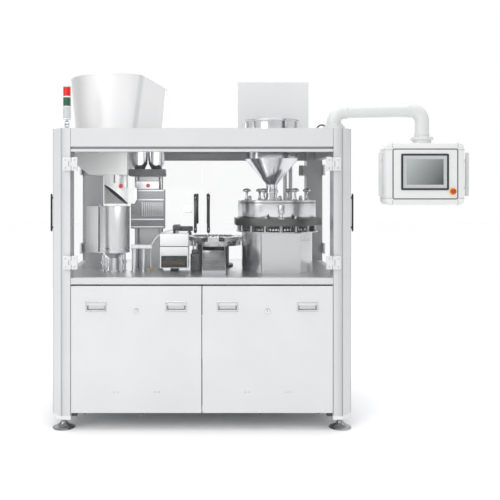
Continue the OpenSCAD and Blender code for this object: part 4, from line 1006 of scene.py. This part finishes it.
screen_low, screen_high = node_box("hmi_screen")
SX, SZ = (screen_low[0] + screen_high[0]) / 2, (screen_low[2] + screen_high[2]) / 2
SW, SH = screen_high[0] - screen_low[0], screen_high[2] - screen_low[2]
SY = screen_low[1]
BEZEL = paint("screen bezel", (0.018, 0.018, 0.02), 0.3, 0.3)
bezel = plate(SX, SZ, SW, SH, 0.008, [(0, screen_high[1]), (0, SY + 0.0012), (0.0012, SY), (0.012, SY),
    (0.013, SY + 0.0008), (0.013, screen_high[1])], True)
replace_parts(piece("screen_bezel", [bezel], "hmi_case", BEZEL), "hmi_screen")
surround = plate(SX, SZ, SW - 0.024, SH - 0.024, 0.003, [(0, screen_high[1]), (0, SY + 0.0008),
    (0.0215, SY + 0.0008), (0.0225, SY + 0.0014), (0.0225, screen_high[1])], True)
SURROUND = paint("screen surround", (0.50, 0.52, 0.52), 0.3, 0.2)
piece("screen_surround", [surround], "hmi_case", SURROUND)
DISPLAY, display_skin = shader("display glass")
place = DISPLAY.node_tree.nodes.new("ShaderNodeTexCoord")
tilt = DISPLAY.node_tree.nodes.new("ShaderNodeMapping")
FADE_TURN = math.radians(-38)
tilt.inputs["Rotation"].default_value = (0, FADE_TURN, 0)
fade_middle = SX * math.cos(0.66) - SZ * math.sin(0.66)
tilt.inputs["Location"].default_value = (-fade_middle, 0, 0)
fade = DISPLAY.node_tree.nodes.new("ShaderNodeSeparateXYZ")
along = DISPLAY.node_tree.nodes.new("ShaderNodeMapRange")
along.inputs["From Min"].default_value = -0.13
along.inputs["From Max"].default_value = 0.13
tones = DISPLAY.node_tree.nodes.new("ShaderNodeMix")
tones.data_type = "RGBA"
tones.inputs["A"].default_value = (0.42, 0.45, 0.44, 1)
tones.inputs["B"].default_value = (0.06, 0.07, 0.07, 1)
join = DISPLAY.node_tree.links.new
join(place.outputs["Object"], tilt.inputs["Vector"])
join(tilt.outputs["Vector"], fade.inputs[0])
join(fade.outputs["X"], along.inputs["Value"])
join(along.outputs["Result"], tones.inputs["Factor"])
join(tones.outputs["Result"], display_skin.inputs["Base Color"])
display_skin.inputs["Roughness"].default_value = 0.12
display_steps = [(0, screen_high[1]), (0, SY + 0.0012), (0.0005, SY + 0.001)]
display = plate(SX, SZ, SW - 0.068, SH - 0.068, 0.002, display_steps)
piece("screen_display", [display], "hmi_case", DISPLAY)

# ---- Operator panel: stop button and grips ----
# A red mushroom button on a yellow ring, a bar grip on the right and a screwed rail on the left.

STOP_RED = paint("stop button red", (0.55, 0.012, 0.015), 0.28, 0.4)
STOP_YELLOW = paint("stop button yellow", (0.80, 0.52, 0.02), 0.4, 0.1)
EX, EZ = 1.5836, 1.546
EY = node_box("estop_button")[0][1]
ring_front = CY0 - 0.004
collar = [(0, -0.001), (0.0235, -0.001), (0.024, 0.0), (0.024, 0.002), (0.0225, 0.003), (0.013, 0.003),
    (0.012, 0.0025), (0, 0.0025)]
stop_ring = turned(collar, (EX, ring_front, EZ), (0, -1, 0), 40)
piece("stop_ring", [stop_ring], "hmi_case", STOP_YELLOW)
depth = ring_front - EY
mushroom = [(0, -0.01), (0.008, -0.01), (0.008, depth - 0.0145), (0.0155, depth - 0.0145),
    (0.017, depth - 0.0125), (0.017, depth - 0.009), (0.0155, depth - 0.004), (0.012, depth - 0.0012),
    (0.007, depth - 0.0002), (0, depth)]
button = turned(mushroom, (EX, ring_front, EZ), (0, -1, 0), 40)
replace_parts(piece("stop_button", [button], "estop_button", STOP_RED, 50), "estop_button")
grip_low, grip_high = node_box("hmi_handle")
GX = CX + CASE_W / 2
GY = (grip_low[1] + grip_high[1]) / 2
grip = [rounded((GX + 0.029, GY - 0.014, CZ - 0.141), (GX + 0.051, GY + 0.014, CZ + 0.141), 0.007)]
grip += [turned([(0, 0), (0.0125, 0), (0.0125, 0.002), (0.0085, 0.005), (0.0075, 0.03), (0, 0.03)],
    (GX, GY, CZ + up), (1, 0, 0), 28) for up in (-0.087, 0.087)]
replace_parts(piece("grip_bar", grip, "hmi_case", PALE), "hmi_handle")
LEFT_SIDE = CX - CASE_W / 2
rail_low = (LEFT_SIDE - 0.0245, GY - 0.013, CZ - 0.141)
rail_high = (LEFT_SIDE + 0.001, GY + 0.013, CZ + 0.141)
piece("grip_rail", [rounded(rail_low, rail_high, 0.005)], "hmi_case", PALE)
studs = [dome(LEFT_SIDE - 0.013, CZ + up, GY - 0.013, 0.006, 0.003) for up in (-0.09, 0.09)]
piece("grip_rail_screws", studs, "hmi_case", POLISHED)

# ---- Dosing unit: drum, cover and columns ----
# A turned drum of brushed steel stands on the deck with a flat cover on its front. Short columns
# and a ring of dark pins carry the octagon ring above it, and two tall pillars stand behind.

DX, DY = 0.535, -0.15
COLUMN_RING, PIN_RING, PILLAR_Y = 0.276, 0.2605, 0.202


def around_unit(r, angle, z):
    """A point at a radius and an angle round the dosing unit's axis."""
    return DX + r * math.cos(angle), DY + r * math.sin(angle), z


DRUM_STEEL = steel("brushed drum steel", (0.62, 0.625, 0.63), 0.24, (2, 2, 1400), 0.00001, 0.04, 0.94)
# Dark paint for the dosing pins and the lid gasket; the same dark is used as painted shade in the magazine
# slots and inside the duct.
PIN_DARK_AND_SHADE = paint("dark pin paint and painted shade", (0.035, 0.035, 0.038), 0.42, 0)
PILLAR = steel("grey pillar steel", (0.46, 0.465, 0.47), 0.33, (700, 700, 3), 0.00001, 0.04, 0.94)
DRUM_TOP, DRUM_R = node_box("dosing_housing")[1][2], 0.251
drum = [(0.2452, DECK_Z), (DRUM_R - 0.0005, DECK_Z), (DRUM_R, DECK_Z + 0.001), (DRUM_R, 1.2055),
    (DRUM_R - 0.0015, 1.2065), (DRUM_R - 0.0015, 1.2095), (DRUM_R, 1.2105), (DRUM_R, DRUM_TOP - 0.009),
    (0.262, DRUM_TOP - 0.008), (0.289, DRUM_TOP - 0.008), (0.29, DRUM_TOP - 0.007),
    (0.29, DRUM_TOP - 0.001), (0.289, DRUM_TOP), (0.0301, DRUM_TOP),
    (0.0301, DRUM_TOP - 0.022), (0.2452, DRUM_TOP - 0.022)]
boss = [(0.0301, DECK_Z), (0.055, DECK_Z), (0.055, DRUM_TOP - 0.021), (0.0301, DRUM_TOP - 0.021)]
drum_shapes = [revolved(drum, DX, DY, 96), revolved(boss, DX, DY, 48)]
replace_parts(piece("dosing_drum", drum_shapes, "frame", DRUM_STEEL, 30), "dosing_housing")
COVER_STEEL = steel("satin cover steel", (0.66, 0.665, 0.67), 0.4, (900, 4, 4), 0.00001, 0.04, 0.95)
dress("dosing_cover", COVER_STEEL, 0.0015)
screws = [dome(DX + sx * 0.12, z, DY - 0.289, 0.005, 0.0025) for sx in (-1, 1) for z in (1.01, 1.245)]
piece("cover_screws", screws, "frame", POLISHED)
RING_Z0, RING_Z1 = node_box("dosing_ring")[0][2], node_box("dosing_ring")[1][2]
stand = RING_Z0 - DRUM_TOP
columns = []
for i, angle in enumerate(np.radians(np.arange(16) * 22.5 - 90)):
    r = 0.013 if i == 0 else 0.009
    waisted = [(0, 0), (r, 0), (r, 0.004), (r * 0.86, 0.006), (r * 0.86, stand - 0.006), (r, stand - 0.004),
        (r, stand), (0, stand)]
    columns.append(turned(waisted, around_unit(COLUMN_RING, angle, DRUM_TOP), sides=20))
top = ROOF_Z - 0.01
for x in (0.635, 0.677):
    columns.append(rod(0.014, top - DECK_Z, (x, PILLAR_Y, DECK_Z), sides=28))
    collar = [(0, 0), (0.021, 0), (0.021, 0.012), (0.0145, 0.014), (0, 0.014)]
    columns.append(turned(collar, (x, PILLAR_Y, DECK_Z), sides=28))
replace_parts(piece("dosing_columns_turned", columns, "frame", PILLAR), "dosing_columns")
pins = [rod(0.0028, stand, around_unit(PIN_RING, angle, DRUM_TOP), sides=8)
    for angle in np.radians(np.arange(0, 360, 4.5))]
piece("dosing_ring_pins", pins, "frame", PIN_DARK_AND_SHADE)

# ---- Dosing unit: ring, bowl, lid and sensor ----
# The octagon ring is a dark anodised plate. The powder bowl and its lid are polished, with acorn
# nuts on the lid, a level sensor on the ring and a small dome nut on each side of it.

DARK_RING = steel("dark anodised ring", (0.15, 0.15, 0.145), 0.34, (8, 8, 900), 0.00001, 0.04, 0.9)
dress("dosing_ring", DARK_RING, 0.002)
BOWL_STEEL = steel("bright bowl steel", (0.68, 0.685, 0.69), 0.24, (2, 2, 1400), 0.00001, 0.03, 0.95)
BOWL_R, BOWL_Z1 = 0.276, node_box("powder_bowl")[1][2]
LID_TOP = BOWL_Z1 + 0.02
bowl = [(BOWL_R - 0.008, RING_Z1), (BOWL_R - 0.0005, RING_Z1), (BOWL_R, RING_Z1 + 0.001),
    (BOWL_R, BOWL_Z1 - 0.001), (BOWL_R - 0.0015, BOWL_Z1), (BOWL_R - 0.008, BOWL_Z1)]
bowl_piece = piece("powder_bowl_turned", [revolved(bowl, DX, DY, 96)], "frame", BOWL_STEEL, 30)
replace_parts(bowl_piece, "powder_bowl")
KNOB_R = 0.215
knob_angles = np.radians(np.arange(6) * 60)
lid = [(0, BOWL_Z1 + 0.0006), (BOWL_R - 0.006, BOWL_Z1 + 0.0006), (BOWL_R - 0.006, BOWL_Z1 + 0.0045),
    (BOWL_R - 0.001, BOWL_Z1 + 0.0045), (BOWL_R, BOWL_Z1 + 0.0055), (BOWL_R, LID_TOP - 0.002),
    (BOWL_R - 0.002, LID_TOP), (0, LID_TOP)]
lid_shapes = [turned(lid, (DX, DY, 0), sides=96)]
for angle in knob_angles:
    c = around_unit(KNOB_R, angle, 0)[:2]
    lid_shapes.append(revolved([(0.0092, LID_TOP), (0.019, LID_TOP), (0.019, LID_TOP + 0.003),
        (0.014, LID_TOP + 0.007), (0.0125, LID_TOP + 0.012), (0.0092, LID_TOP + 0.012)], *c, 24))
lid_shapes.append(revolved([(0.0402, LID_TOP), (0.058, LID_TOP), (0.058, LID_TOP + 0.004),
    (0.046, LID_TOP + 0.006), (0.045, LID_TOP + 0.018), (0.0402, LID_TOP + 0.018)], HX, HY, 40))
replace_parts(piece("bowl_lid_turned", lid_shapes, "frame", BOWL_STEEL, 30), "bowl_lid")


def acorn(x, y, z, r, tall):
    """A dome nut: a hexagon under a dome, whose height follows a quarter of an ellipse."""
    a = np.linspace(0, math.pi / 2, 7)
    cap = list(zip(r * 0.86 * np.cos(a), tall * 0.4 + tall * 0.6 * np.sin(a)))
    return [turned([(0, 0), (r, 0), (r, tall * 0.4), (0, tall * 0.4)], (x, y, z), sides=6),
        turned([(0, tall * 0.35), (r * 0.86, tall * 0.35)] + cap, (x, y, z), sides=20)]


gasket = revolved([(BOWL_R - 0.0055, BOWL_Z1 + 0.0008), (BOWL_R - 0.003, BOWL_Z1 + 0.0008),
    (BOWL_R - 0.003, BOWL_Z1 + 0.0043), (BOWL_R - 0.0055, BOWL_Z1 + 0.0043)], DX, DY, 96)
piece("lid_gasket", [gasket], "frame", PIN_DARK_AND_SHADE)
nuts = []
for angle in np.radians((30, 150, 270)):
    nuts += acorn(*around_unit(KNOB_R, angle, LID_TOP), 0.0155, 0.032)
for side in (-0.1, 0.1):
    nuts += acorn(DX + side, DY - 0.287, RING_Z1, 0.0125, 0.024)
piece("acorn_nuts", nuts, "frame", KNOB_STEEL)
SENSOR_Y = DY - 0.302
sensor = [(0, 0), (0.0235, 0), (0.024, 0.0015), (0.023, 0.004), (0.014, 0.012), (0.0095, 0.02),
    (0.0095, 0.034), (0.019, 0.0365), (0.0215, 0.039), (0.022, 0.042), (0.022, 0.092), (0.0205, 0.0945),
    (0.017, 0.095), (0, 0.095)]
sensor_piece = piece("level_sensor_turned", [turned(sensor, (DX, SENSOR_Y, RING_Z1), sides=40),
    rounded((DX - 0.018, SENSOR_Y + 0.002, RING_Z1), (DX + 0.018, SENSOR_Y + 0.022, RING_Z1 + 0.008), 0.001)],
    "frame", BOWL_STEEL)
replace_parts(sensor_piece, "level_sensor")

# ---- Dosing unit: disc and tamping head ----
# The dosing disc turns on its shaft under the ring. The tamping head lifts its pins through the
# bowl, and a mushroom knob stands over each group of pins.

dress("dosing_disc", DRUM_STEEL)
pin_z0 = node_box("tamping_head")[0][2]
HEAD_Z0, HEAD_Z1, HEAD_R, HEAD_IN = RING_Z1 + 0.035, RING_Z1 + 0.06, 0.262, 0.142
head = [revolved([(HEAD_IN, HEAD_Z0), (HEAD_R - 0.001, HEAD_Z0), (HEAD_R, HEAD_Z0 + 0.001),
    (HEAD_R, HEAD_Z1 - 0.001), (HEAD_R - 0.001, HEAD_Z1), (HEAD_IN, HEAD_Z1)], DX, DY, 72)]
knobs = []
for angle in knob_angles:
    across = np.array([-math.sin(angle), math.cos(angle)])
    c = np.array([DX, DY]) + KNOB_R * np.array([math.cos(angle), math.sin(angle)])
    for j in range(-2, 3):
        foot_point = c + across * j * 0.014
        tamping_pin = [(0, pin_z0), (0.0035, pin_z0), (0.004, pin_z0 + 0.0005), (0.004, HEAD_Z0 + 0.001),
            (0, HEAD_Z0 + 0.001)]
        head.append(turned(tamping_pin, (*foot_point, 0), sides=12))
    a = np.linspace(0, math.pi / 2, 9)
    cap = list(zip(0.030 * np.cos(a), 0.066 + 0.018 * np.sin(a)))
    stem_z0 = HEAD_Z1 - 0.001 - LID_TOP
    mushroom = [(0, stem_z0), (0.009, stem_z0), (0.009, 0.026), (0.0075, 0.03), (0.0075, 0.048),
        (0.0125, 0.056), (0.0125, 0.059), (0.022, 0.06), (0.028, 0.062)] + cap
    knobs.append(turned(mushroom, (*c, LID_TOP), sides=32))
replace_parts(piece("tamping_head_plate", head, "tamping_head", DRUM_STEEL, 30), "tamping_head")
piece("tamping_knobs", knobs, "tamping_head", KNOB_STEEL, 50)

# ---- Turret and chute ----
# The turret carries twelve segment blocks with capsule bores round an indexing table. Two bright
# station posts with a dark head stand beside it, and a sheet chute takes the capsules to the front.

TURRET_STEEL = steel("turned turret steel", (0.60, 0.605, 0.61), 0.22, (3, 3, 300), 0.00002)
BLOCK_STEEL = steel("ground block steel", (0.66, 0.665, 0.67), 0.26, (90, 90, 90), 0.00002)
CAST = paint("dark cast iron paint", (0.10, 0.103, 0.108), 0.45, 0)
dress("turret_disc", TURRET_STEEL)
dress("segment_blocks", BLOCK_STEEL)
dress("turret_column", CAST)
dress("discharge_chute", SHEET_STEEL, 0.0006)
TX, TY = 0.08, 0.08
stations = []
station_tall = 1.30 - DECK_Z
for y in (-0.06, 0.10):
    post = [(0, 0), (0.024, 0), (0.024, 0.012), (0.0125, 0.014), (0.0125, station_tall), (0, station_tall)]
    stations.append(turned(post, (-0.19, y, DECK_Z), sides=28))
piece("station_posts", stations, "frame", POLISHED)
nozzle = [(0, 0), (0.016, 0), (0.016, 0.022), (0.01, 0.026), (0.01, 0.035), (0, 0.035)]
heads = [rounded((-0.215, -0.085, 1.262), (-0.165, 0.125, 1.30), 0.004),
    rounded((-0.175, -0.01, 1.255), (-0.07, 0.05, 1.29), 0.005),
    turned(nozzle, (-0.095, 0.02, 1.222), sides=24),
    rounded((-0.083, -0.235, DECK_Z), (-0.018, -0.165, 1.105), 0.004),
    rounded((-0.075, -0.225, 1.105), (-0.026, -0.175, 1.135), 0.006)]
piece("station_blocks", heads, "frame", CAST)
lit_rods = [rod(0.006, tall, (x, -0.2, 1.135), sides=16) for x, tall in ((-0.062, 0.06), (-0.04, 0.045))]
piece("station_rods", lit_rods, "frame", POLISHED)
socket_head = [(0, 0), (0.0075, 0), (0.0075, 0.005), (0.006, 0.0065), (0.0035, 0.0065), (0.0035, 0.003),
    (0, 0.003)]
fixings = [turned(socket_head, (TX + 0.07 * math.cos(a), TY + 0.07 * math.sin(a), 1.207), sides=16)
    for a in np.radians(np.arange(0, 360, 45))]
piece("turret_screws", fixings, "turret", POLISHED)

# ---- Inspection housing and reject drawer ----
# A pale hood over a pale body, parted by a black gasket, on a black foot. The reject drawer slides
# in the body's bay behind a dark glossy front.

IX0, IY0, IX1, IY1 = -0.295, -0.30, -0.095, -0.13
shell = [rounded((IX0, IY0, 1.1645), (IX1, IY1, 1.25), 0.004),
    rounded((IX0, IY0, 1.098), (IX1, IY1, 1.1605), 0.002),
    rounded((IX0, IY0, 1.012), (IX1, IY1, 1.018), 0.001),
    rounded((IX0, IY0, 1.0175), (IX0 + 0.01, IY1, 1.0985), 0.001),
    rounded((IX1 - 0.01, IY0, 1.0175), (IX1, IY1, 1.0985), 0.001),
    rounded((IX0 + 0.009, IY1 - 0.008, 1.0175), (IX1 - 0.009, IY1, 1.0985), 0.001)]
INSPECT_PAINT = paint("inspection paint", (0.84, 0.845, 0.84), 0.32, 0.2)
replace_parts(piece("inspection_shell", shell, "frame", INSPECT_PAINT), "inspection_housing")
trim = [rounded((IX0 + 0.001, IY0 + 0.001, 1.1605), (IX1 - 0.001, IY1 - 0.001, 1.1645), 0.0005),
    rounded((IX1 - 0.0005, IY0 + 0.006, 1.02), (IX1 + 0.002, IY1 - 0.006, 1.155), 0.001),
    rounded((-0.223, -0.255, DECK_Z), (-0.167, -0.175, 1.0125), 0.004)]
piece("inspection_trim", trim, "frame", BLACK)
fitting = [(0, 0), (0.013, 0), (0.013, 0.004), (0.009, 0.006), (0.009, 0.022), (0.0125, 0.024),
    (0.0125, 0.034), (0, 0.036)]
fitting_shape = turned(fitting, (-0.198, -0.2, 1.25), sides=24)
piece("inspection_fitting", [fitting_shape], "frame", BLACK)
GLOSS = paint("dark glossy front", (0.012, 0.012, 0.013), 0.12, 0.6)
dress("reject_drawer", GLOSS, 0.0008)
TRAY = paint("drawer window", (0.060, 0.045, 0.032), 0.3, 0.3)
drawer_y = node_box("reject_drawer")[0][1]
window_steps = [(0, drawer_y + 0.001), (0, drawer_y - 0.0006), (0.002, drawer_y - 0.001)]
window = plate(-0.195, 1.05, 0.155, 0.036, 0.006, window_steps)
piece("drawer_window", [window], "reject_drawer", TRAY)

# ---- Capsule side: belly, duct and tank ----
# The hopper's belly hangs under the roof. A pale duct with a slanted mouth, a dark sleeve of painted shade
# and a half round apron behind it leads down to a stainless tank with a rim, a side channel and valves.

BELLY_PAINT = paint("belly paint", (0.72, 0.725, 0.72), 0.4, 0.1)
DUCT_PAINT = paint("duct paint", (0.78, 0.785, 0.78), 0.36, 0.15)
# The apron's paint is near white, brighter than the duct's, to stand in for light on its shaded inner side:
# painted light.
APRON_LIT_PAINT = paint("apron paint brightened as painted light", (0.96, 0.965, 0.96), 0.5, 0)
TANK_STEEL = steel("brushed tank steel", (0.78, 0.785, 0.79), 0.30, (900, 900, 3), 0.00001, 0.03, 0.95)
dress("hopper_belly", BELLY_PAINT)
DUCT_R, DUCT_C, DUCT_TOP = 0.084, (-0.606, -0.25), 1.6629
all_round = np.linspace(0, 2 * math.pi, 72, endpoint=False)
behind = np.linspace(0, math.pi, 37)


def mouth_height(angles):
    """The height of the slanted mouth: a plane that falls towards the right and the back."""
    return 1.525 - 0.762 * DUCT_R * np.cos(angles) - 0.286 * DUCT_R * np.sin(angles)


def duct_arc(angles, r, z):
    """Points of the duct at these angles and a radius, at one height or at a height for each."""
    x, y = DUCT_C[0] + r * np.cos(angles), DUCT_C[1] + r * np.sin(angles)
    return np.stack([x, y, np.broadcast_to(z, x.shape)], -1)


mouth_z = mouth_height(all_round)
wall_steps = ((0, DUCT_TOP), (0, mouth_z + 0.001), (0.001, mouth_z), (0.0025, mouth_z),
    (0.003, mouth_z + 0.001), (0.003, DUCT_TOP))
wall = [duct_arc(all_round, DUCT_R - inset, z) for inset, z in wall_steps]
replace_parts(piece("duct_sheet", [lofted(wall, True)], "frame", DUCT_PAINT, 30),
    "capsule_duct")
# A dark sleeve inside the duct stands in for the shade within it: painted shade.
shade_sleeve_steps = ((0.0031, mouth_z + 0.0015), (0.0038, mouth_z + 0.0015), (0.0038, 1.662), (0.0031, 1.662))
shade_sleeve = [duct_arc(all_round, DUCT_R - inset, z) for inset, z in shade_sleeve_steps]
piece("duct_shade_sleeve", [lofted(shade_sleeve, True)], "frame", PIN_DARK_AND_SHADE, 30)
lip, APRON_Z0 = mouth_height(behind), 1.4595
apron_steps = ((0, APRON_Z0), (0, lip), (0.0025, lip), (0.0025, APRON_Z0))
apron_rows = np.stack([duct_arc(behind, DUCT_R - inset, z) for inset, z in apron_steps])
piece("duct_apron", [lofted(apron_rows.transpose(1, 0, 2))], "frame", APRON_LIT_PAINT, 30)
dress("dust_tank", TANK_STEEL)
KX, KY = -0.618, -0.25
band = revolved([(0.1083, 1.145), (0.1095, 1.1455), (0.1095, 1.1575), (0.1083, 1.158)], KX, KY, 72)
piece("tank_band", [band], "frame", POLISHED)
seam_strip = [rounded((-0.611, -0.3352, 1.605), (-0.603, -0.3335, 1.662), 0.0005)]
piece("duct_seam", seam_strip, "frame", SEAM)
valves = []
for x, y, r, tall in ((-0.69, -0.27, 0.011, 0.115), (-0.665, -0.31, 0.008, 0.1), (-0.56, -0.31, 0.010, 0.12),
        (-0.545, -0.25, 0.008, 0.125)):
    valve = [(0, 0), (r * 1.9, 0), (r * 1.9, 0.008), (r, 0.01), (r, tall * 0.45), (r * 1.7, tall * 0.46),
        (r * 1.7, tall * 0.62), (r, tall * 0.63), (r, tall), (0, tall)]
    valves.append(turned(valve, (x, y, DECK_Z), sides=20))
piece("tank_valves", valves, "frame", POLISHED)
clips = []
for angle in np.radians((200, 245, 290, 335)):
    clips += acorn(KX + 0.1 * math.cos(angle), KY + 0.1 * math.sin(angle), 1.4438, 0.007, 0.011)
piece("tank_clips", clips, "frame", POLISHED)

# ---- Capsule side: magazine and its frame ----
# The magazine is a dark slotted block that rides on two round guides under a dark cowl. Round red
# knobs lock it, and a pale beam on bright posts stands in front of it.

MAGAZINE = steel("dark magazine metal", (0.19, 0.195, 0.2), 0.34, (6, 6, 500), 0.00002, 0.08, 0.7)
HEAD_STEEL = steel("magazine head steel", (0.52, 0.525, 0.53), 0.34, (700, 4, 4), 0.00001, 0.05, 0.92)
COWL = paint("dark cowl", (0.055, 0.057, 0.06), 0.4, 0)
dress("magazine_frame", HEAD_STEEL, 0.0006)
dress("magazine_block", MAGAZINE)
dress("magazine_cowl", COWL)
MX = -0.386
trims = [rounded((MX - 0.116, -0.2335, z), (MX + 0.116, -0.2295, z + 0.009), 0.001)
    for z in (1.292, 1.345, 1.484, 1.548)]
trims += [rounded((MX - 0.085, -0.2425, 1.563), (MX + 0.081, -0.2375, 1.618), 0.0015)]
piece("magazine_trims", trims, "magazine", HEAD_STEEL)
slot_x = MX - 0.048 + 0.014 * np.arange(11)
# Dark inserts in the slots are painted shade.
slot_shades = [rounded((x + 0.0002, -0.2288, 1.3752), (x + 0.0058, -0.2012, 1.4648), 0.0005) for x in slot_x]
piece("magazine_slot_shade", slot_shades, "magazine", PIN_DARK_AND_SHADE)
slats = [rounded((x + 0.0072, -0.2325, 1.371), (x + 0.0128, -0.2299, 1.469), 0.0009) for x in slot_x]
piece("magazine_slats", slats, "magazine", HEAD_STEEL)
RED_KNOB = paint("red knob plastic", (0.50, 0.008, 0.02), 0.3, 0.3)
knob = [(0, 0), (0.0085, 0), (0.0135, 0.003), (0.0145, 0.007), (0.0135, 0.011), (0.009, 0.0135), (0, 0.0142)]
magazine_knob = turned(knob, (-0.38, -0.2425, 1.588), (0, -1, 0), 28)
piece("magazine_knob", [magazine_knob], "magazine", RED_KNOB)
duct_knob = turned(knob, (-0.56, -0.327, 1.583), (0, -1, 0), 28)
piece("duct_knob", [duct_knob], "frame", RED_KNOB)
knob_plate = rounded((-0.578, -0.327, 1.573), (-0.528, -0.3215, 1.664), 0.001)
piece("duct_knob_plate", [knob_plate], "frame", HEAD_STEEL)
feed = [(0, 0), (0.0345, 0), (0.0565, 0.040), (0.0565, 0.241), (0, 0.241)]
feeds = [turned(feed, (MX + off, -0.14, 1.705), sides=48) for off in (-0.063, 0.057)]
piece("feed_cylinders", feeds, "frame", POLISHED)
beam = [rounded((-0.4915, -0.3305, 1.1505), (-0.3475, -0.2995, 1.1775), 0.004)]
piece("beam_cover", beam, "frame", DUCT_PAINT)
posts = []
for x, r in ((-0.471, 0.0175), (-0.406, 0.0125)):
    post = [(0, 0), (r * 1.5, 0), (r * 1.5, 0.01), (r, 0.012), (r, 0.155), (r * 1.25, 0.157),
        (r * 1.25, 0.163), (0, 0.163)]
    posts.append(turned(post, (x, -0.315, DECK_Z), sides=28))
piece("beam_posts", posts, "frame", POLISHED)
side_plate = np.array([(-0.523, 1.574), (-0.457, 1.574), (-0.457, 1.492), (-0.476, 1.461),
    (-0.505, 1.461), (-0.523, 1.475)])
sheet = [np.column_stack([side_plate[:, 0], np.full(6, y), side_plate[:, 1]]) for y in (-0.262, -0.2595)]
piece("side_plate", [lofted(sheet)], "frame", DUCT_PAINT)

# ---- Clear bent pipe ----
# A stiff clear pipe rises from an amber fitting in the deck and bends over to the inspection
# housing's fitting.

knots = np.array([(-0.357, -0.27, 1.005), (-0.362, -0.27, 1.05), (-0.364, -0.268, 1.11),
    (-0.358, -0.262, 1.165), (-0.33, -0.25, 1.218), (-0.29, -0.235, 1.25), (-0.25, -0.22, 1.265),
    (-0.215, -0.208, 1.274), (-0.198, -0.2, 1.277)])
steps = np.linspace(0, len(knots) - 1, 60)
smooth = np.stack([np.interp(steps, range(len(knots)), knots[:, k]) for k in range(3)], -1)
for _ in range(12):
    smooth[1:-1] = (smooth[:-2] + 2 * smooth[1:-1] + smooth[2:]) / 4
ahead = np.gradient(smooth, axis=0)
ahead /= np.linalg.norm(ahead, axis=1)[:, None]
across = np.cross(ahead, (0, 1, 0.0))
across /= np.linalg.norm(across, axis=1)[:, None]
third = np.cross(ahead, across)
a = np.linspace(0, 2 * math.pi, 14, endpoint=False)[:, None]
rings = smooth[:, None] + 0.0052 * (np.cos(a) * across[:, None] + np.sin(a) * third[:, None])
CLEAR_PIPE = paint("clear pipe", (0.62, 0.66, 0.68), 0.15, 0.6)
piece("clear_bent_pipe", [lofted(rings)], "frame", CLEAR_PIPE)
AMBER = paint("amber fitting", (0.55, 0.28, 0.03), 0.35, 0.2)
socket_profile = [(0, 0), (0.01, 0), (0.01, 0.008), (0.0075, 0.01), (0.0075, 0.03), (0, 0.03)]
pipe_foot = turned(socket_profile, (-0.357, -0.27, DECK_Z), sides=20)
piece("pipe_fitting", [pipe_foot], "frame", AMBER)

# ---- Drive, cabinet and service ports ----
# Cast gearboxes and the motor in blue paint, a ground main shaft with its pulleys, a grey
# electrical cabinet on the floor pan and steel ports in the left rear panel.

DRIVE_PAINT = paint("blue drive paint", (0.10, 0.20, 0.30), 0.45, 0.1)
dress("drive_unit", DRIVE_PAINT)
dress("main_shaft", GROUND)
dress("drive_pulley", GROUND)
dress("control_cabinet", PALER, 0.001)
dress("service_ports", POLISHED, 0.0004)
